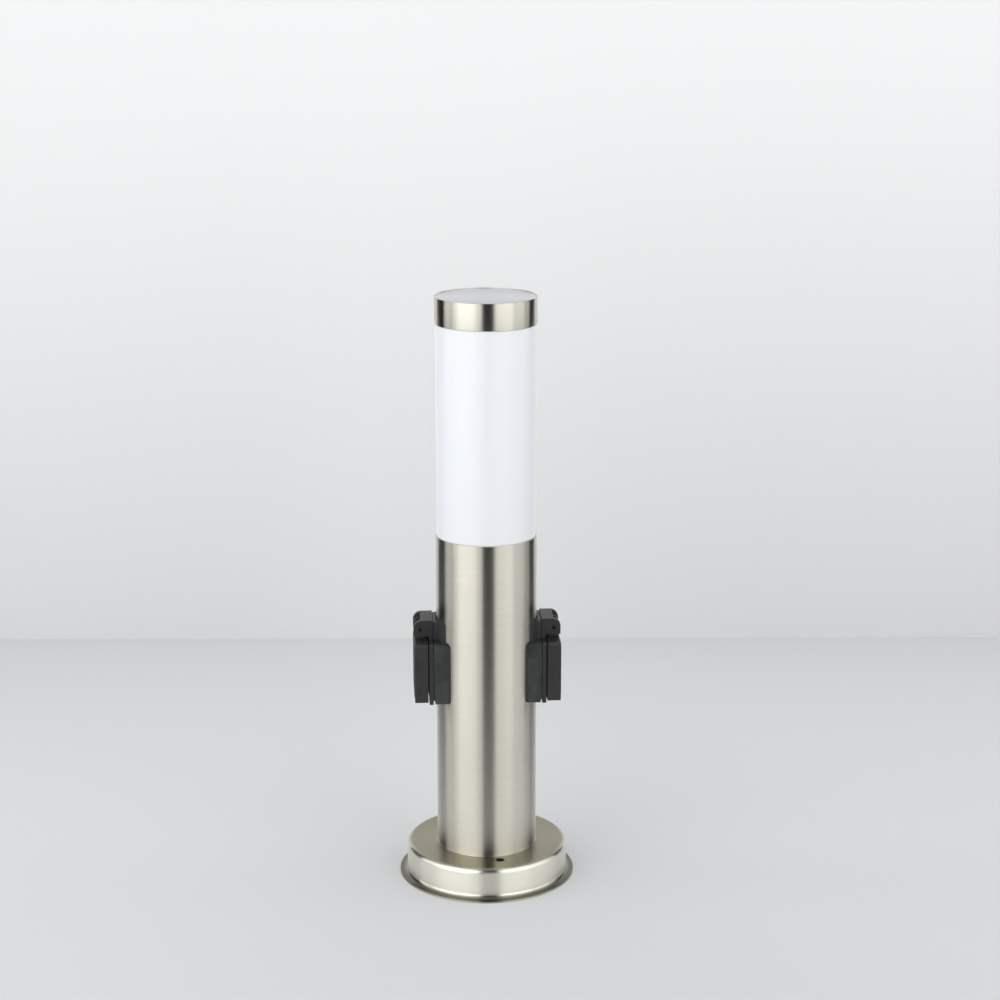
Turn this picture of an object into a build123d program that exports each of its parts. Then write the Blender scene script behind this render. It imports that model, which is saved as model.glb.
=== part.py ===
"""Garden bollard light with two lidded power outlets.

Millimetres, +Z up. The origin is the middle of the foot flange, on the ground.
The outlets face +X and -X, and the two ground-screw holes lie near the Y axis.
"""

import math
import os

from build123d import *

# ---- driving dimensions ---------------------------------------------------------------

# screws of every kind
SCREW_HEAD_ROUNDING = 0.35
SCREW_SLOT_WIDTH = 0.8
SCREW_SLOT_LEVEL = 0.55

# post
TUBE_OUTER_DIAMETER = 76.0
TUBE_WALL = 1.2
TUBE_LENGTH = 245.0

# base
BASE_HEIGHT = 25.0
BASE_LEDGE_WIDTH = 23.7
BASE_DRAFT = 0.4
BASE_FLANGE_WIDTH = 5.6
BASE_SHEET = 1.2
BASE_EDGE_RADIUS = 4.0
BASE_SWEEP_RADIUS = 3.4
BASE_FLANGE_RISE = 1.9
BASE_FOOT_WIDTH = 1.9
BASE_OPENING_RADIUS = 30.0
BASE_PLATE_THICKNESS = 3.0
GROUND_HOLE_MARGIN = 7.0
GROUND_HOLE_DIAMETER = 7.0
GROUND_HOLE_CLOCKING = -80.0
GROUND_HOLE_COUNT = 2

# cable entry
GROMMET_BORE_RADIUS = 5.0
GROMMET_WAIST_RADIUS = 8.0
GROMMET_FLANGE_RADIUS = 11.0
GROMMET_FLANGE_HEIGHT = 2.5
GROMMET_ROUNDING = 1.0

# head
DIFFUSER_LENGTH = 160.0
DIFFUSER_STEP = 0.5
DIFFUSER_WALL = 2.2
DIFFUSER_EDGE_RADIUS = 0.3
LOWER_SPIGOT_LENGTH = 8.0
LOWER_SPIGOT_GAP = 0.4
LOWER_SPIGOT_WALL = 3.0
SPIGOT_EDGE_RADIUS = 0.5
SPIGOT_CONE = 2.0
UPPER_SPIGOT_LENGTH = 6.0
UPPER_SPIGOT_GAP = 0.6
SEAL_SECTION_RADIUS = 0.8
SEAL_GAP = 0.3
SEAL_GROOVE_GAP = 0.1
CAP_HEIGHT = 20.0
CAP_WALL = 1.2
CAP_DISC_THICKNESS = 1.2
CAP_DISC_RECESS = 0.7
CAP_SEAL_LENGTH = 4.6
CAP_SEAL_LIFT = 0.4

# lamp holder and lamp
HOLDER_PLATE_DROP = 20.0
HOLDER_PLATE_THICKNESS = 1.5
HOLDER_PLATE_GAP = 0.1
HOLDER_TAB_HEIGHT = 10.0
HOLDER_TAB_ANGLES = (90, 210, 330)
HOLDER_HEIGHT = 45.0
HOLDER_BASE_RADIUS = 20.5
HOLDER_RIM_RADIUS = 18.5
HOLDER_FLOOR = 16.5
HOLDER_SHOULDER_HEIGHT = 4.0
HOLDER_SHOULDER_RADIUS = 2.0
HOLDER_FOOT_RADIUS = 1.0
HOLDER_LIP_RADIUS = 1.5
HOLDER_SCREW_SPACING = 30.0
HOLDER_SCREW_RADIUS = 1.75
HOLDER_SCREW_HEAD = (3.2, 2.0)
HOLDER_SCREW_END_GAP = 1.0
HOLDER_WIRE_HOLE_RADIUS = 8.0
HOLDER_WIRE_CHANNEL = 1.6
HOLDER_WIRE_OFFSET = 5.0
HOLDER_WIRE_DEPTH = 8.0
EARTH_SCREW_RADIUS = 2.0
EARTH_SCREW_HEAD = (3.4, 2.2)
EARTH_SCREW_LENGTH = 6.0
EARTH_SCREW_PLACE = (27.0, 0.0)
EARTH_LUG_RADIUS = 4.0
EARTH_LUG_THICKNESS = 0.8
EARTH_LUG_LENGTH = 9.0
EARTH_LUG_WIDTH = 4.0
SCREW_CAP_RADIUS = 13.25
SCREW_CAP_HEIGHT = 24.0
SCREW_CAP_GAP = 0.35
SCREW_CAP_RIDGES = 6
SCREW_CAP_WALL = 0.6
SCREW_CAP_MARGIN = 1.0
THREAD_DEPTH = 1.0
THREAD_BURY = 0.3
THREAD_GAP = 0.2
SHELL_WALL = 0.6
SHELL_LIFT = 4.0
SHELL_DROP = 2.0
CONTACT_HEIGHT = 2.2
CONTACT_STRIP = 0.5
CONTACT_WIDTH = 6.0
CONTACT_FOOT = 9.0
CONTACT_TONGUE = 5.0
LAMP_REST_GAP = 0.4
LAMP_TIP_HEIGHT = 1.4
LAMP_INSULATOR_HEIGHT = 1.8
LAMP_RADIUS = 30.0
LAMP_COLLAR_HEIGHT = 31.0
LAMP_GLOBE_HEIGHT = 49.0
LAMP_SHELL = 1.2
LAMP_SKIRT_DRAFT = 1.5
LAMP_SKIRT_HEIGHT = 10.0
LAMP_TIP_RADIUS = 4.6
LAMP_TIP_EDGE = 1.0
LAMP_TIP_ROUNDING = 0.6
COLLAR_INSET = 0.2
COLLAR_EDGE_RADIUS = 0.4
COLLAR_WAIST = 0.45
COLLAR_FLARE = 3.0
COLLAR_FLARE_RADIUS = 18.0
DOME_FLAT = 0.1
BOARD_THICKNESS = 1.6
BOARD_RADIUS = 24.0
CHIP_SIZE = (3.0, 3.0, 0.7)
CHIP_COUNT = 10
CHIP_CIRCLE = 15.6

# outlets
OUTLET_HEIGHT = 167.0
OUTLET_WIDTH = 50.0
FLAT_FACE_STANDOFF = 3.0
FRAME_THICKNESS = 3.1
FRAME_HEIGHT = 47.9
FRAME_LIP = 0.9
FRAME_CORNER_RADIUS = 1.5
FRAME_EDGE = 0.4
FRAME_GASKET_THICKNESS = 0.5
FRAME_GASKET_INSET = 0.7
FRAME_GASKET_CORNER = 1.0
SADDLE_CORNER_RADIUS = 3.0
SADDLE_EDGE_RADIUS = 0.8
SADDLE_STEP_WIDTH = 0.7
SADDLE_STEP_HEIGHT = 2.3
SADDLE_GASKET_THICKNESS = 1.0
SADDLE_GASKET_PROUD = 0.6
GASKET_TAB_WIDTH = 42.0
GASKET_TAB_PROUD = 0.8
INSERT_RADIUS = 21.75
INSERT_COLLAR = 0.6
INSERT_COLLAR_LENGTH = 1.5
INSERT_BASE = 12.6
INSERT_GAP = 0.1
INSERT_WALL = 2.0
MOUTH_EDGE = 0.5
WINDOW_GAP = 0.85
RECESS_DEPTH = 17.5
GUIDE_RIB_RISE = 1.1
GUIDE_RIB_BURY = 0.5
GUIDE_RIB_WIDTH = 4.4
GUIDE_RIB_SETBACK = 2.0
PIN_SPACING = 19.0
PIN_HOLE_RADIUS = 2.75
SLEEVE_RADIUS = 3.5
SLEEVE_BORE_RADIUS = 2.45
SLEEVE_LENGTH = 10.5
EARTH_CLIP_WIDTH = 6.0
EARTH_CLIP_THICKNESS = 0.8
EARTH_CLIP_INSET = 1.55
EARTH_CLIP_GAP = 0.2
EARTH_CLIP_LENGTH = 14.0
FLANGE_SCREW_SPACING = 38.0
FLANGE_SCREW_RADIUS = 1.75
FLANGE_SCREW_LENGTH = 18.0
SCREW_CLEARANCE = 0.25
SINK_DEPTH = 1.7
SINK_HEAD_RADIUS = 3.4
SINK_SETBACK = 0.1
CROSS_WIDTH = 0.9
CROSS_LENGTH = 3.8
BACKING_THICKNESS = 1.5
BACKING_GAP = 0.05
BACKING_MARGIN = 4.0
BACKING_CORNER_RADIUS = 3.0

# hinge and lid
HINGE_STANDOFF = 6.3
HINGE_RISE = 32.0
HINGE_WIDTH = 26.0
HINGE_BLOCK_REACH = 5.0
HINGE_BLOCK_TOP = 7.2
HINGE_BLOCK_CORNER = 6.0
HINGE_BLOCK_FOOT_RADIUS = 1.0
NECK_STEP = 0.9
NECK_OVERLAP = 2.0
EAR_THICKNESS = 3.7
EAR_DROP = 5.2
KNUCKLE_RADIUS = 4.5
KNUCKLE_GAP = 0.3
KNUCKLE_TOP_GAP = 0.4
SPRING_SLOT_WIDTH = 8.0
SPRING_SLOT_DEPTH = 1.0
SPRING_END_GAP = 0.4
PIN_RADIUS = 1.5
PIN_RUNNING_GAP = 0.05
PIN_RECESS = 0.4
LID_GAP = 0.8
LID_DEPTH = 10.1
LID_TOP_DROP = 8.2
LID_BOTTOM_RISE = 1.6
LID_WALL = 1.6
LID_CORNER_RADIUS = 2.0
LID_EDGE_RADIUS = 0.6
LID_ARM_THICKNESS = 8.0
LID_SEAL_WIDTH = 1.3
LID_SEAL_GAP = 0.3
LID_SEAL_OFFSET = 0.35
LID_BOSS_DROP = 2.0
LID_BOSS_WALL = 1.0
LID_GROOVE_DEPTH = 3.0
SPRING_WIRE_RADIUS = 0.4
SPRING_RADIUS = 2.5
SPRING_TURNS = 6

# wiring
BRACKET_THICKNESS = 1.5
BRACKET_WIDTH = 24.0
BRACKET_FACE = 14.0
BRACKET_FOOT_LENGTH = 12.0
BRACKET_HEIGHT = 50.0
BRACKET_SCREW_RADIUS = 2.0
BRACKET_SCREW_HEAD = (3.6, 2.4)
BRACKET_SCREW_LENGTH = 6.0
BLOCK_SIZE = (30.0, 16.0, 22.0)
BLOCK_BOTTOM = 48.0
BLOCK_CORNER = 0.8
BLOCK_POLE_PITCH = 10.0
BLOCK_FUNNEL = (6.0, 3.4, 4.0)
BLOCK_SLEEVE_RADIUS = 3.2
BLOCK_SLEEVE_BORE_RADIUS = 2.0
BLOCK_SCREW_RADIUS = 1.7
BLOCK_SCREW_HEAD = (2.4, 1.6)
BLOCK_SCREW_REACH = 3.0
GRUB_SINK = 1.0
GRUB_END_GAP = 0.1
WIRE_RADIUS = 1.2
WIRE_PAIR_OFFSET = 1.5
WIRE_END_OFFSET = 1.22
WIRE_END_GAP = 0.5
WIRE_REACH = 1.5
WIRE_BEND_SHARE = 0.45
CORE_RUN = 4.0
EARTH_RUN = 3.2
UP_RUN = 5.0
UP_RUN_CROSSING = 0.45
UP_RUN_DRIFT = 0.9
LAMP_WIRE_TURN = 0.85
EARTH_WIRE_TURN = 0.8
FEED_LOW_BEND = 1 / 6
FEED_HIGH_BEND = 1 / 2

# ---- sizes that follow -----------------------------------------------------------------

TUBE_RADIUS = TUBE_OUTER_DIAMETER / 2
TUBE_INNER = TUBE_RADIUS - TUBE_WALL
BASE_DRUM_RADIUS = TUBE_RADIUS + BASE_LEDGE_WIDTH
GROUND_HOLE_CIRCLE = TUBE_OUTER_DIAMETER + 2 * GROUND_HOLE_MARGIN
TUBE_TOP = BASE_HEIGHT + TUBE_LENGTH
DIFFUSER_RADIUS = TUBE_RADIUS - DIFFUSER_STEP
DIFFUSER_TOP = TUBE_TOP + DIFFUSER_LENGTH
CAP_INNER = TUBE_RADIUS - CAP_WALL
TOTAL_HEIGHT = DIFFUSER_TOP + CAP_HEIGHT

PLATE_TOP = BASE_HEIGHT - BASE_SHEET
PLATE_BOTTOM = PLATE_TOP - BASE_PLATE_THICKNESS

HOLDER_PLATE_BOTTOM = TUBE_TOP - HOLDER_PLATE_DROP
HOLDER_SEAT = HOLDER_PLATE_BOTTOM + HOLDER_PLATE_THICKNESS
HOLDER_FLOOR_LEVEL = HOLDER_SEAT + HOLDER_FLOOR
SCREW_CAP_ROOT = SCREW_CAP_RADIUS - THREAD_DEPTH
SHELL_INNER = SCREW_CAP_RADIUS + SCREW_CAP_GAP
SHELL_OUTER = SHELL_INNER + SHELL_WALL
LAMP_BOTTOM = HOLDER_FLOOR_LEVEL + CONTACT_HEIGHT + LAMP_REST_GAP
INSULATOR_BOTTOM = LAMP_BOTTOM + LAMP_TIP_HEIGHT
SCREW_CAP_BOTTOM = INSULATOR_BOTTOM + LAMP_INSULATOR_HEIGHT
COLLAR_BOTTOM = SCREW_CAP_BOTTOM + SCREW_CAP_HEIGHT
GLOBE_BOTTOM = COLLAR_BOTTOM + LAMP_COLLAR_HEIGHT
GLOBE_TOP = GLOBE_BOTTOM + LAMP_GLOBE_HEIGHT

HALF_WIDTH = OUTLET_WIDTH / 2
FLAT_FACE_DISTANCE = TUBE_RADIUS + FLAT_FACE_STANDOFF
FRAME_BOTTOM = OUTLET_HEIGHT - FRAME_HEIGHT / 2
FRAME_TOP = OUTLET_HEIGHT + FRAME_HEIGHT / 2
FRAME_FRONT = FLAT_FACE_DISTANCE + FRAME_THICKNESS
SADDLE_FACE = FLAT_FACE_DISTANCE - FRAME_GASKET_THICKNESS
SADDLE_BOTTOM = FRAME_BOTTOM + FRAME_LIP
SADDLE_TOP = FRAME_TOP - FRAME_LIP / 2
SADDLE_CUT_RADIUS = TUBE_RADIUS + SADDLE_GASKET_THICKNESS
SADDLE_BACK = (SADDLE_CUT_RADIUS**2 - HALF_WIDTH**2) ** 0.5
WINDOW_RADIUS = INSERT_RADIUS + WINDOW_GAP
RECESS_RADIUS = INSERT_RADIUS - INSERT_WALL
EARTH_CLIP_REACH = RECESS_RADIUS - EARTH_CLIP_INSET
RECESS_FLOOR = FRAME_FRONT - RECESS_DEPTH
INSERT_BACK = RECESS_FLOOR - INSERT_BASE
SCREW_HOLE_RADIUS = FLANGE_SCREW_RADIUS + SCREW_CLEARANCE

HINGE_DISTANCE = FRAME_FRONT + HINGE_STANDOFF
HINGE_HEIGHT = OUTLET_HEIGHT + HINGE_RISE
HINGE_HALF = HINGE_WIDTH / 2
BLOCK_OUTER = HINGE_DISTANCE + HINGE_BLOCK_REACH
BLOCK_TOP = HINGE_HEIGHT + HINGE_BLOCK_TOP
GASKET_TAB_TOP = BLOCK_TOP + GASKET_TAB_PROUD
CAVITY_HALF = HINGE_HALF - EAR_THICKNESS
KNUCKLE_HALF = CAVITY_HALF - KNUCKLE_GAP
CAVITY_BACK = HINGE_DISTANCE - KNUCKLE_RADIUS - KNUCKLE_TOP_GAP
CAVITY_ROOF = HINGE_HEIGHT + KNUCKLE_RADIUS + KNUCKLE_TOP_GAP
LID_BACK = FRAME_FRONT + LID_GAP
LID_FRONT = LID_BACK + LID_DEPTH
LID_TOP = HINGE_HEIGHT - LID_TOP_DROP
LID_BOTTOM = FRAME_BOTTOM + LID_BOTTOM_RISE
LID_SEAL_INNER = RECESS_RADIUS + LID_SEAL_OFFSET
LID_SEAL_OUTER = LID_SEAL_INNER + LID_SEAL_WIDTH

POLE_OFFSETS = (-BLOCK_POLE_PITCH, 0.0, BLOCK_POLE_PITCH)
BLOCK_FRONT = BRACKET_FACE - BLOCK_SIZE[1]
BLOCK_MIDDLE = BRACKET_FACE - BLOCK_SIZE[1] / 2
BLOCK_TOP_FACE = BLOCK_BOTTOM + BLOCK_SIZE[2]

SIDES = {"right": 0.0, "left": 180.0}

# ---- shape helpers -----------------------------------------------------------------------


def box(x_span, y_span, z_span):
    """Block between two values on each axis."""
    size = [high - low for low, high in (x_span, y_span, z_span)]
    middle = [(high + low) / 2 for low, high in (x_span, y_span, z_span)]
    return Pos(*middle) * Box(*size)


def rod_z(radius, low, high, x=0.0, y=0.0):
    """Upright cylinder between two heights."""
    return Pos(x, y, (low + high) / 2) * Cylinder(radius, high - low)


def rod_x(radius, low, high, y=0.0, z=0.0):
    """Cylinder along X between two places."""
    return Pos((low + high) / 2, y, z) * Rot(Y=90) * Cylinder(radius, high - low)


def rod_y(radius, low, high, x=0.0, z=0.0):
    """Cylinder along Y between two places."""
    return Pos(x, (low + high) / 2, z) * Rot(X=90) * Cylinder(radius, high - low)


def ring_z(outer, inner, low, high):
    """Upright tube between two heights."""
    return rod_z(outer, low, high) - rod_z(inner, low, high)


def turned(*corners):
    """Solid of revolution about Z from corners given as (radius, height, rounding)."""
    points = [(radius, height) for radius, height, _ in corners]
    roundings = [rounding for _, _, rounding in corners]
    outline = FilletPolyline(*points, radius=roundings, close=True)
    return revolve(Plane.XZ * make_face(outline), axis=Axis.Z)


def plate_x(width, low, high, corner, x_low, x_high):
    """Plate facing X, centred on Y, with rounded corners."""
    outline = RectangleRounded(width, high - low, corner)
    face = Plane.YZ.offset(x_low) * Pos(0, (low + high) / 2) * outline
    return extrude(face, amount=x_high - x_low)


def screw(radius, head_radius, head_height, length):
    """Pan-head screw along Z: seat at zero, head above, shank below."""
    head = rod_z(head_radius, 0, head_height)
    head = fillet(head.edges().group_by(Axis.Z)[-1], head_height * SCREW_HEAD_ROUNDING)
    slot = box(
        (-head_radius, head_radius),
        (-SCREW_SLOT_WIDTH / 2, SCREW_SLOT_WIDTH / 2),
        (head_height * SCREW_SLOT_LEVEL, head_height),
    )
    return head - slot + rod_z(radius, -length, 0)


def screw_corners():
    """The four flange-screw places of an outlet, as (y, z)."""
    half = FLANGE_SCREW_SPACING / 2
    return [(y, OUTLET_HEIGHT + z) for y in (-half, half) for z in (-half, half)]


def screw_holes(radius, x_low, x_high):
    """The four flange-screw holes between two places on X."""
    return [rod_x(radius, x_low, x_high, y, z) for y, z in screw_corners()]


def bend_radii(points):
    """Largest tangent arc that the runs beside each corner leave room for."""
    radii = []
    for before, corner, after in zip(points, points[1:], points[2:]):
        arriving = Vector(corner) - Vector(before)
        leaving = Vector(after) - Vector(corner)
        half_turn = math.radians(arriving.get_angle(leaving) / 2)
        shorter = min(arriving.length, leaving.length)
        radii.append(WIRE_BEND_SHARE * shorter / math.tan(half_turn))
    return radii


def wire(points):
    """Insulated wire of straight runs joined by tangent arcs."""
    radii = bend_radii(points)
    print("wire bends", [round(radius, 1) for radius in radii])
    path = FilletPolyline(*points, radius=radii)
    section = Plane(origin=path @ 0, z_dir=path % 0) * Circle(WIRE_RADIUS)
    return sweep(section, path=path)


# ---- base and post -----------------------------------------------------------------------


def ground_holes(low, high):
    """Holes for the ground screws, spread round the hole circle."""
    places = PolarLocations(
        GROUND_HOLE_CIRCLE / 2, GROUND_HOLE_COUNT, start_angle=GROUND_HOLE_CLOCKING
    )
    hole = rod_z(GROUND_HOLE_DIAMETER / 2, low, high)
    return [place * hole for place in places]


def base_cover():
    """Drawn dish with a foot flange, a flat top and a wide middle opening."""
    top_radius = BASE_DRUM_RADIUS - BASE_DRAFT
    flange_radius = BASE_DRUM_RADIUS + BASE_FLANGE_WIDTH
    dish = turned(
        (BASE_OPENING_RADIUS, BASE_HEIGHT, 0),
        (top_radius, BASE_HEIGHT, BASE_EDGE_RADIUS),
        (BASE_DRUM_RADIUS, BASE_FLANGE_RISE, BASE_SWEEP_RADIUS),
        (flange_radius, BASE_SHEET, BASE_SHEET / 3),
        (flange_radius, 0, 0),
        (flange_radius - BASE_FOOT_WIDTH, 0, 0),
        (
            BASE_DRUM_RADIUS - BASE_SHEET,
            BASE_FLANGE_RISE - BASE_SHEET,
            BASE_SWEEP_RADIUS,
        ),
        (top_radius - BASE_SHEET, PLATE_TOP, BASE_EDGE_RADIUS - BASE_SHEET),
        (BASE_OPENING_RADIUS, PLATE_TOP, 0),
    )
    return dish - ground_holes(PLATE_TOP, BASE_HEIGHT)


def base_plate():
    """Thick disc under the dish top that carries the post and the wiring."""
    radius = BASE_DRUM_RADIUS - BASE_DRAFT - BASE_EDGE_RADIUS - BASE_SHEET
    plate = ring_z(radius, GROMMET_WAIST_RADIUS, PLATE_BOTTOM, PLATE_TOP)
    for x, y in bracket_screw_places():
        plate -= rod_z(BRACKET_SCREW_RADIUS, PLATE_BOTTOM, PLATE_TOP, x, y)
    return plate - ground_holes(PLATE_BOTTOM, PLATE_TOP)


def cable_grommet():
    """Rubber grommet clipped in the middle of the base plate."""
    low = PLATE_BOTTOM - GROMMET_FLANGE_HEIGHT
    high = PLATE_TOP + GROMMET_FLANGE_HEIGHT
    return turned(
        (GROMMET_BORE_RADIUS, low, 0),
        (GROMMET_FLANGE_RADIUS, low, GROMMET_ROUNDING),
        (GROMMET_FLANGE_RADIUS, PLATE_BOTTOM, 0),
        (GROMMET_WAIST_RADIUS, PLATE_BOTTOM, 0),
        (GROMMET_WAIST_RADIUS, PLATE_TOP, 0),
        (GROMMET_FLANGE_RADIUS, PLATE_TOP, 0),
        (GROMMET_FLANGE_RADIUS, high, GROMMET_ROUNDING),
        (GROMMET_BORE_RADIUS, high, 0),
    )


def post_tube():
    """Upright tube with a round window and four screw holes on each side."""
    tube = ring_z(TUBE_RADIUS, TUBE_INNER, BASE_HEIGHT, TUBE_TOP)
    window = rod_x(WINDOW_RADIUS, -TUBE_RADIUS, TUBE_RADIUS, z=OUTLET_HEIGHT)
    return tube - window - screw_holes(SCREW_HOLE_RADIUS, -TUBE_RADIUS, TUBE_RADIUS)


# ---- terminal block and bracket -----------------------------------------------------------


def bracket_screw_places():
    """Places of the two screws that hold the bracket's foot."""
    y = BRACKET_FACE + BRACKET_THICKNESS + BRACKET_FOOT_LENGTH / 2
    return [(x, y) for x in (-BRACKET_WIDTH / 4, BRACKET_WIDTH / 4)]


def block_screw_places():
    """Places of the two screws that hold the terminal block, between its poles."""
    z = BLOCK_BOTTOM + BLOCK_SIZE[2] / 2
    return [(x, z) for x in (-BLOCK_POLE_PITCH / 2, BLOCK_POLE_PITCH / 2)]


def terminal_bracket():
    """Bent sheet bracket that stands on the base plate."""
    half = BRACKET_WIDTH / 2
    back = BRACKET_FACE + BRACKET_THICKNESS
    foot = box(
        (-half, half),
        (BRACKET_FACE, back + BRACKET_FOOT_LENGTH),
        (PLATE_TOP, PLATE_TOP + BRACKET_THICKNESS),
    )
    upright = box((-half, half), (BRACKET_FACE, back), (PLATE_TOP, PLATE_TOP + BRACKET_HEIGHT))
    bracket = foot + upright
    for x, y in bracket_screw_places():
        bracket -= rod_z(BRACKET_SCREW_RADIUS, PLATE_TOP, PLATE_TOP + BRACKET_THICKNESS, x, y)
    for x, z in block_screw_places():
        bracket -= rod_y(BLOCK_SCREW_RADIUS, BRACKET_FACE, back, x, z)
    return bracket


def bracket_screws():
    """Two screws in the bracket's foot and two through the terminal block."""
    foot_screw = screw(BRACKET_SCREW_RADIUS, *BRACKET_SCREW_HEAD, BRACKET_SCREW_LENGTH)
    seat = PLATE_TOP + BRACKET_THICKNESS
    screws = [Pos(x, y, seat) * foot_screw for x, y in bracket_screw_places()]
    block_screw = screw(
        BLOCK_SCREW_RADIUS, *BLOCK_SCREW_HEAD, BLOCK_SIZE[1] + BLOCK_SCREW_REACH
    )
    screws += [Pos(x, BLOCK_FRONT, z) * Rot(X=90) * block_screw for x, z in block_screw_places()]
    return Compound(children=screws)


def terminal_block():
    """Three-pole terminal block with a funnel at both ends of each pole."""
    half = BLOCK_SIZE[0] / 2
    block = box((-half, half), (BLOCK_FRONT, BRACKET_FACE), (BLOCK_BOTTOM, BLOCK_TOP_FACE))
    block = chamfer(block.edges().filter_by(Axis.Z), BLOCK_CORNER)
    funnel_x, funnel_y, funnel_z = BLOCK_FUNNEL
    for x in POLE_OFFSETS:
        block -= Pos(0, BLOCK_MIDDLE, 0) * rod_z(
            BLOCK_SLEEVE_RADIUS, BLOCK_BOTTOM, BLOCK_TOP_FACE - funnel_z, x
        )
        block -= box(
            (x - funnel_x / 2, x + funnel_x / 2),
            (BLOCK_MIDDLE - funnel_y / 2, BLOCK_MIDDLE + funnel_y / 2),
            (BLOCK_TOP_FACE - funnel_z, BLOCK_TOP_FACE),
        )
        for z in pole_screw_heights():
            block -= rod_y(BLOCK_SCREW_RADIUS, BLOCK_FRONT, BLOCK_MIDDLE, x, z)
    for x, z in block_screw_places():
        block -= rod_y(BLOCK_SCREW_RADIUS, BLOCK_FRONT, BRACKET_FACE, x, z)
    return block


def pole_screw_heights():
    """Heights of the clamping screws of each pole."""
    middle = BLOCK_BOTTOM + BLOCK_SIZE[2] / 2
    return (middle - BLOCK_SIZE[2] / 5, middle + BLOCK_SIZE[2] / 8)


def terminal_contacts():
    """Three brass sleeves inside the terminal block."""
    low = BLOCK_BOTTOM + BLOCK_FUNNEL[2]
    sleeve = ring_z(
        BLOCK_SLEEVE_RADIUS, BLOCK_SLEEVE_BORE_RADIUS, low, BLOCK_TOP_FACE - BLOCK_FUNNEL[2]
    )
    return Compound(children=[Pos(x, BLOCK_MIDDLE, 0) * sleeve for x in POLE_OFFSETS])


def terminal_screws():
    """Clamping screws, two on each pole."""
    length = BLOCK_SIZE[1] / 2 - BLOCK_SLEEVE_RADIUS
    grub = Rot(X=90) * rod_z(BLOCK_SCREW_RADIUS, GRUB_END_GAP - length, -GRUB_SINK)
    places = [(x, z) for x in POLE_OFFSETS for z in pole_screw_heights()]
    return Compound(children=[Pos(x, BLOCK_FRONT, z) * grub for x, z in places])


# ---- lamp holder and lamp -----------------------------------------------------------------


def holder_plate():
    """Sheet disc across the tube, with three tabs turned up against its wall."""
    radius = TUBE_INNER - HOLDER_PLATE_GAP
    plate = rod_z(radius, HOLDER_PLATE_BOTTOM, HOLDER_SEAT)
    collar = ring_z(
        radius,
        radius - HOLDER_PLATE_THICKNESS,
        HOLDER_PLATE_BOTTOM,
        HOLDER_PLATE_BOTTOM + HOLDER_TAB_HEIGHT,
    )
    tab_half = HOLDER_TAB_HEIGHT / 2
    tab_zone = box((0, TUBE_RADIUS), (-tab_half, tab_half), (HOLDER_PLATE_BOTTOM, TUBE_TOP))
    for angle in HOLDER_TAB_ANGLES:
        plate += collar & (Rot(Z=angle) * tab_zone)
    plate -= rod_z(HOLDER_WIRE_HOLE_RADIUS, HOLDER_PLATE_BOTTOM, HOLDER_SEAT)
    plate -= rod_z(EARTH_SCREW_RADIUS, HOLDER_PLATE_BOTTOM, HOLDER_SEAT, *EARTH_SCREW_PLACE)
    for y in (-HOLDER_SCREW_SPACING / 2, HOLDER_SCREW_SPACING / 2):
        plate -= rod_z(HOLDER_SCREW_RADIUS, HOLDER_PLATE_BOTTOM, HOLDER_SEAT, y=y)
    return plate


def lamp_holder():
    """Porcelain lamp holder body."""
    top = HOLDER_SEAT + HOLDER_HEIGHT
    body = turned(
        (0, HOLDER_SEAT, 0),
        (HOLDER_BASE_RADIUS, HOLDER_SEAT, HOLDER_FOOT_RADIUS),
        (HOLDER_BASE_RADIUS, HOLDER_FLOOR_LEVEL, HOLDER_SHOULDER_RADIUS),
        (HOLDER_RIM_RADIUS, HOLDER_FLOOR_LEVEL + HOLDER_SHOULDER_HEIGHT, HOLDER_SHOULDER_RADIUS),
        (HOLDER_RIM_RADIUS, top, HOLDER_LIP_RADIUS),
        (SHELL_OUTER, top, 0),
        (SHELL_OUTER, HOLDER_FLOOR_LEVEL, 0),
        (0, HOLDER_FLOOR_LEVEL, 0),
    )
    for x in (-HOLDER_WIRE_OFFSET, HOLDER_WIRE_OFFSET):
        body -= rod_z(HOLDER_WIRE_CHANNEL, HOLDER_SEAT, HOLDER_SEAT + HOLDER_WIRE_DEPTH, x)
    for y in (-HOLDER_SCREW_SPACING / 2, HOLDER_SCREW_SPACING / 2):
        body -= rod_z(HOLDER_SCREW_RADIUS, HOLDER_SEAT, HOLDER_SEAT + HOLDER_WIRE_DEPTH, y=y)
    return body


def lamp_holder_shell():
    """Brass sleeve that takes the lamp's screw cap."""
    top = HOLDER_SEAT + HOLDER_HEIGHT - SHELL_DROP
    return ring_z(SHELL_OUTER, SHELL_INNER, HOLDER_FLOOR_LEVEL + SHELL_LIFT, top)


def lamp_holder_contact():
    """Bent middle contact on the holder's floor."""
    low = HOLDER_FLOOR_LEVEL
    high = low + CONTACT_HEIGHT
    strip = CONTACT_STRIP
    across = (-CONTACT_WIDTH / 2, CONTACT_WIDTH / 2)
    foot = box((-CONTACT_FOOT, 0), across, (low, low + strip))
    riser = box((-strip, 0), across, (low, high))
    tongue = box((-strip, CONTACT_TONGUE), across, (high - strip, high))
    return foot + riser + tongue


def lamp_holder_screws():
    """Two screws that hold the lamp holder from under its plate."""
    length = HOLDER_PLATE_THICKNESS + HOLDER_WIRE_DEPTH - HOLDER_SCREW_END_GAP
    one = screw(HOLDER_SCREW_RADIUS, *HOLDER_SCREW_HEAD, length)
    half = HOLDER_SCREW_SPACING / 2
    return Compound(
        children=[Pos(0, y, HOLDER_PLATE_BOTTOM) * Rot(X=180) * one for y in (-half, half)]
    )


def earth_screw():
    """Earth screw in the holder plate."""
    x, y = EARTH_SCREW_PLACE
    seat = HOLDER_PLATE_BOTTOM - EARTH_LUG_THICKNESS
    one = screw(EARTH_SCREW_RADIUS, *EARTH_SCREW_HEAD, EARTH_SCREW_LENGTH)
    return Pos(x, y, seat) * Rot(X=180) * one


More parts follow.
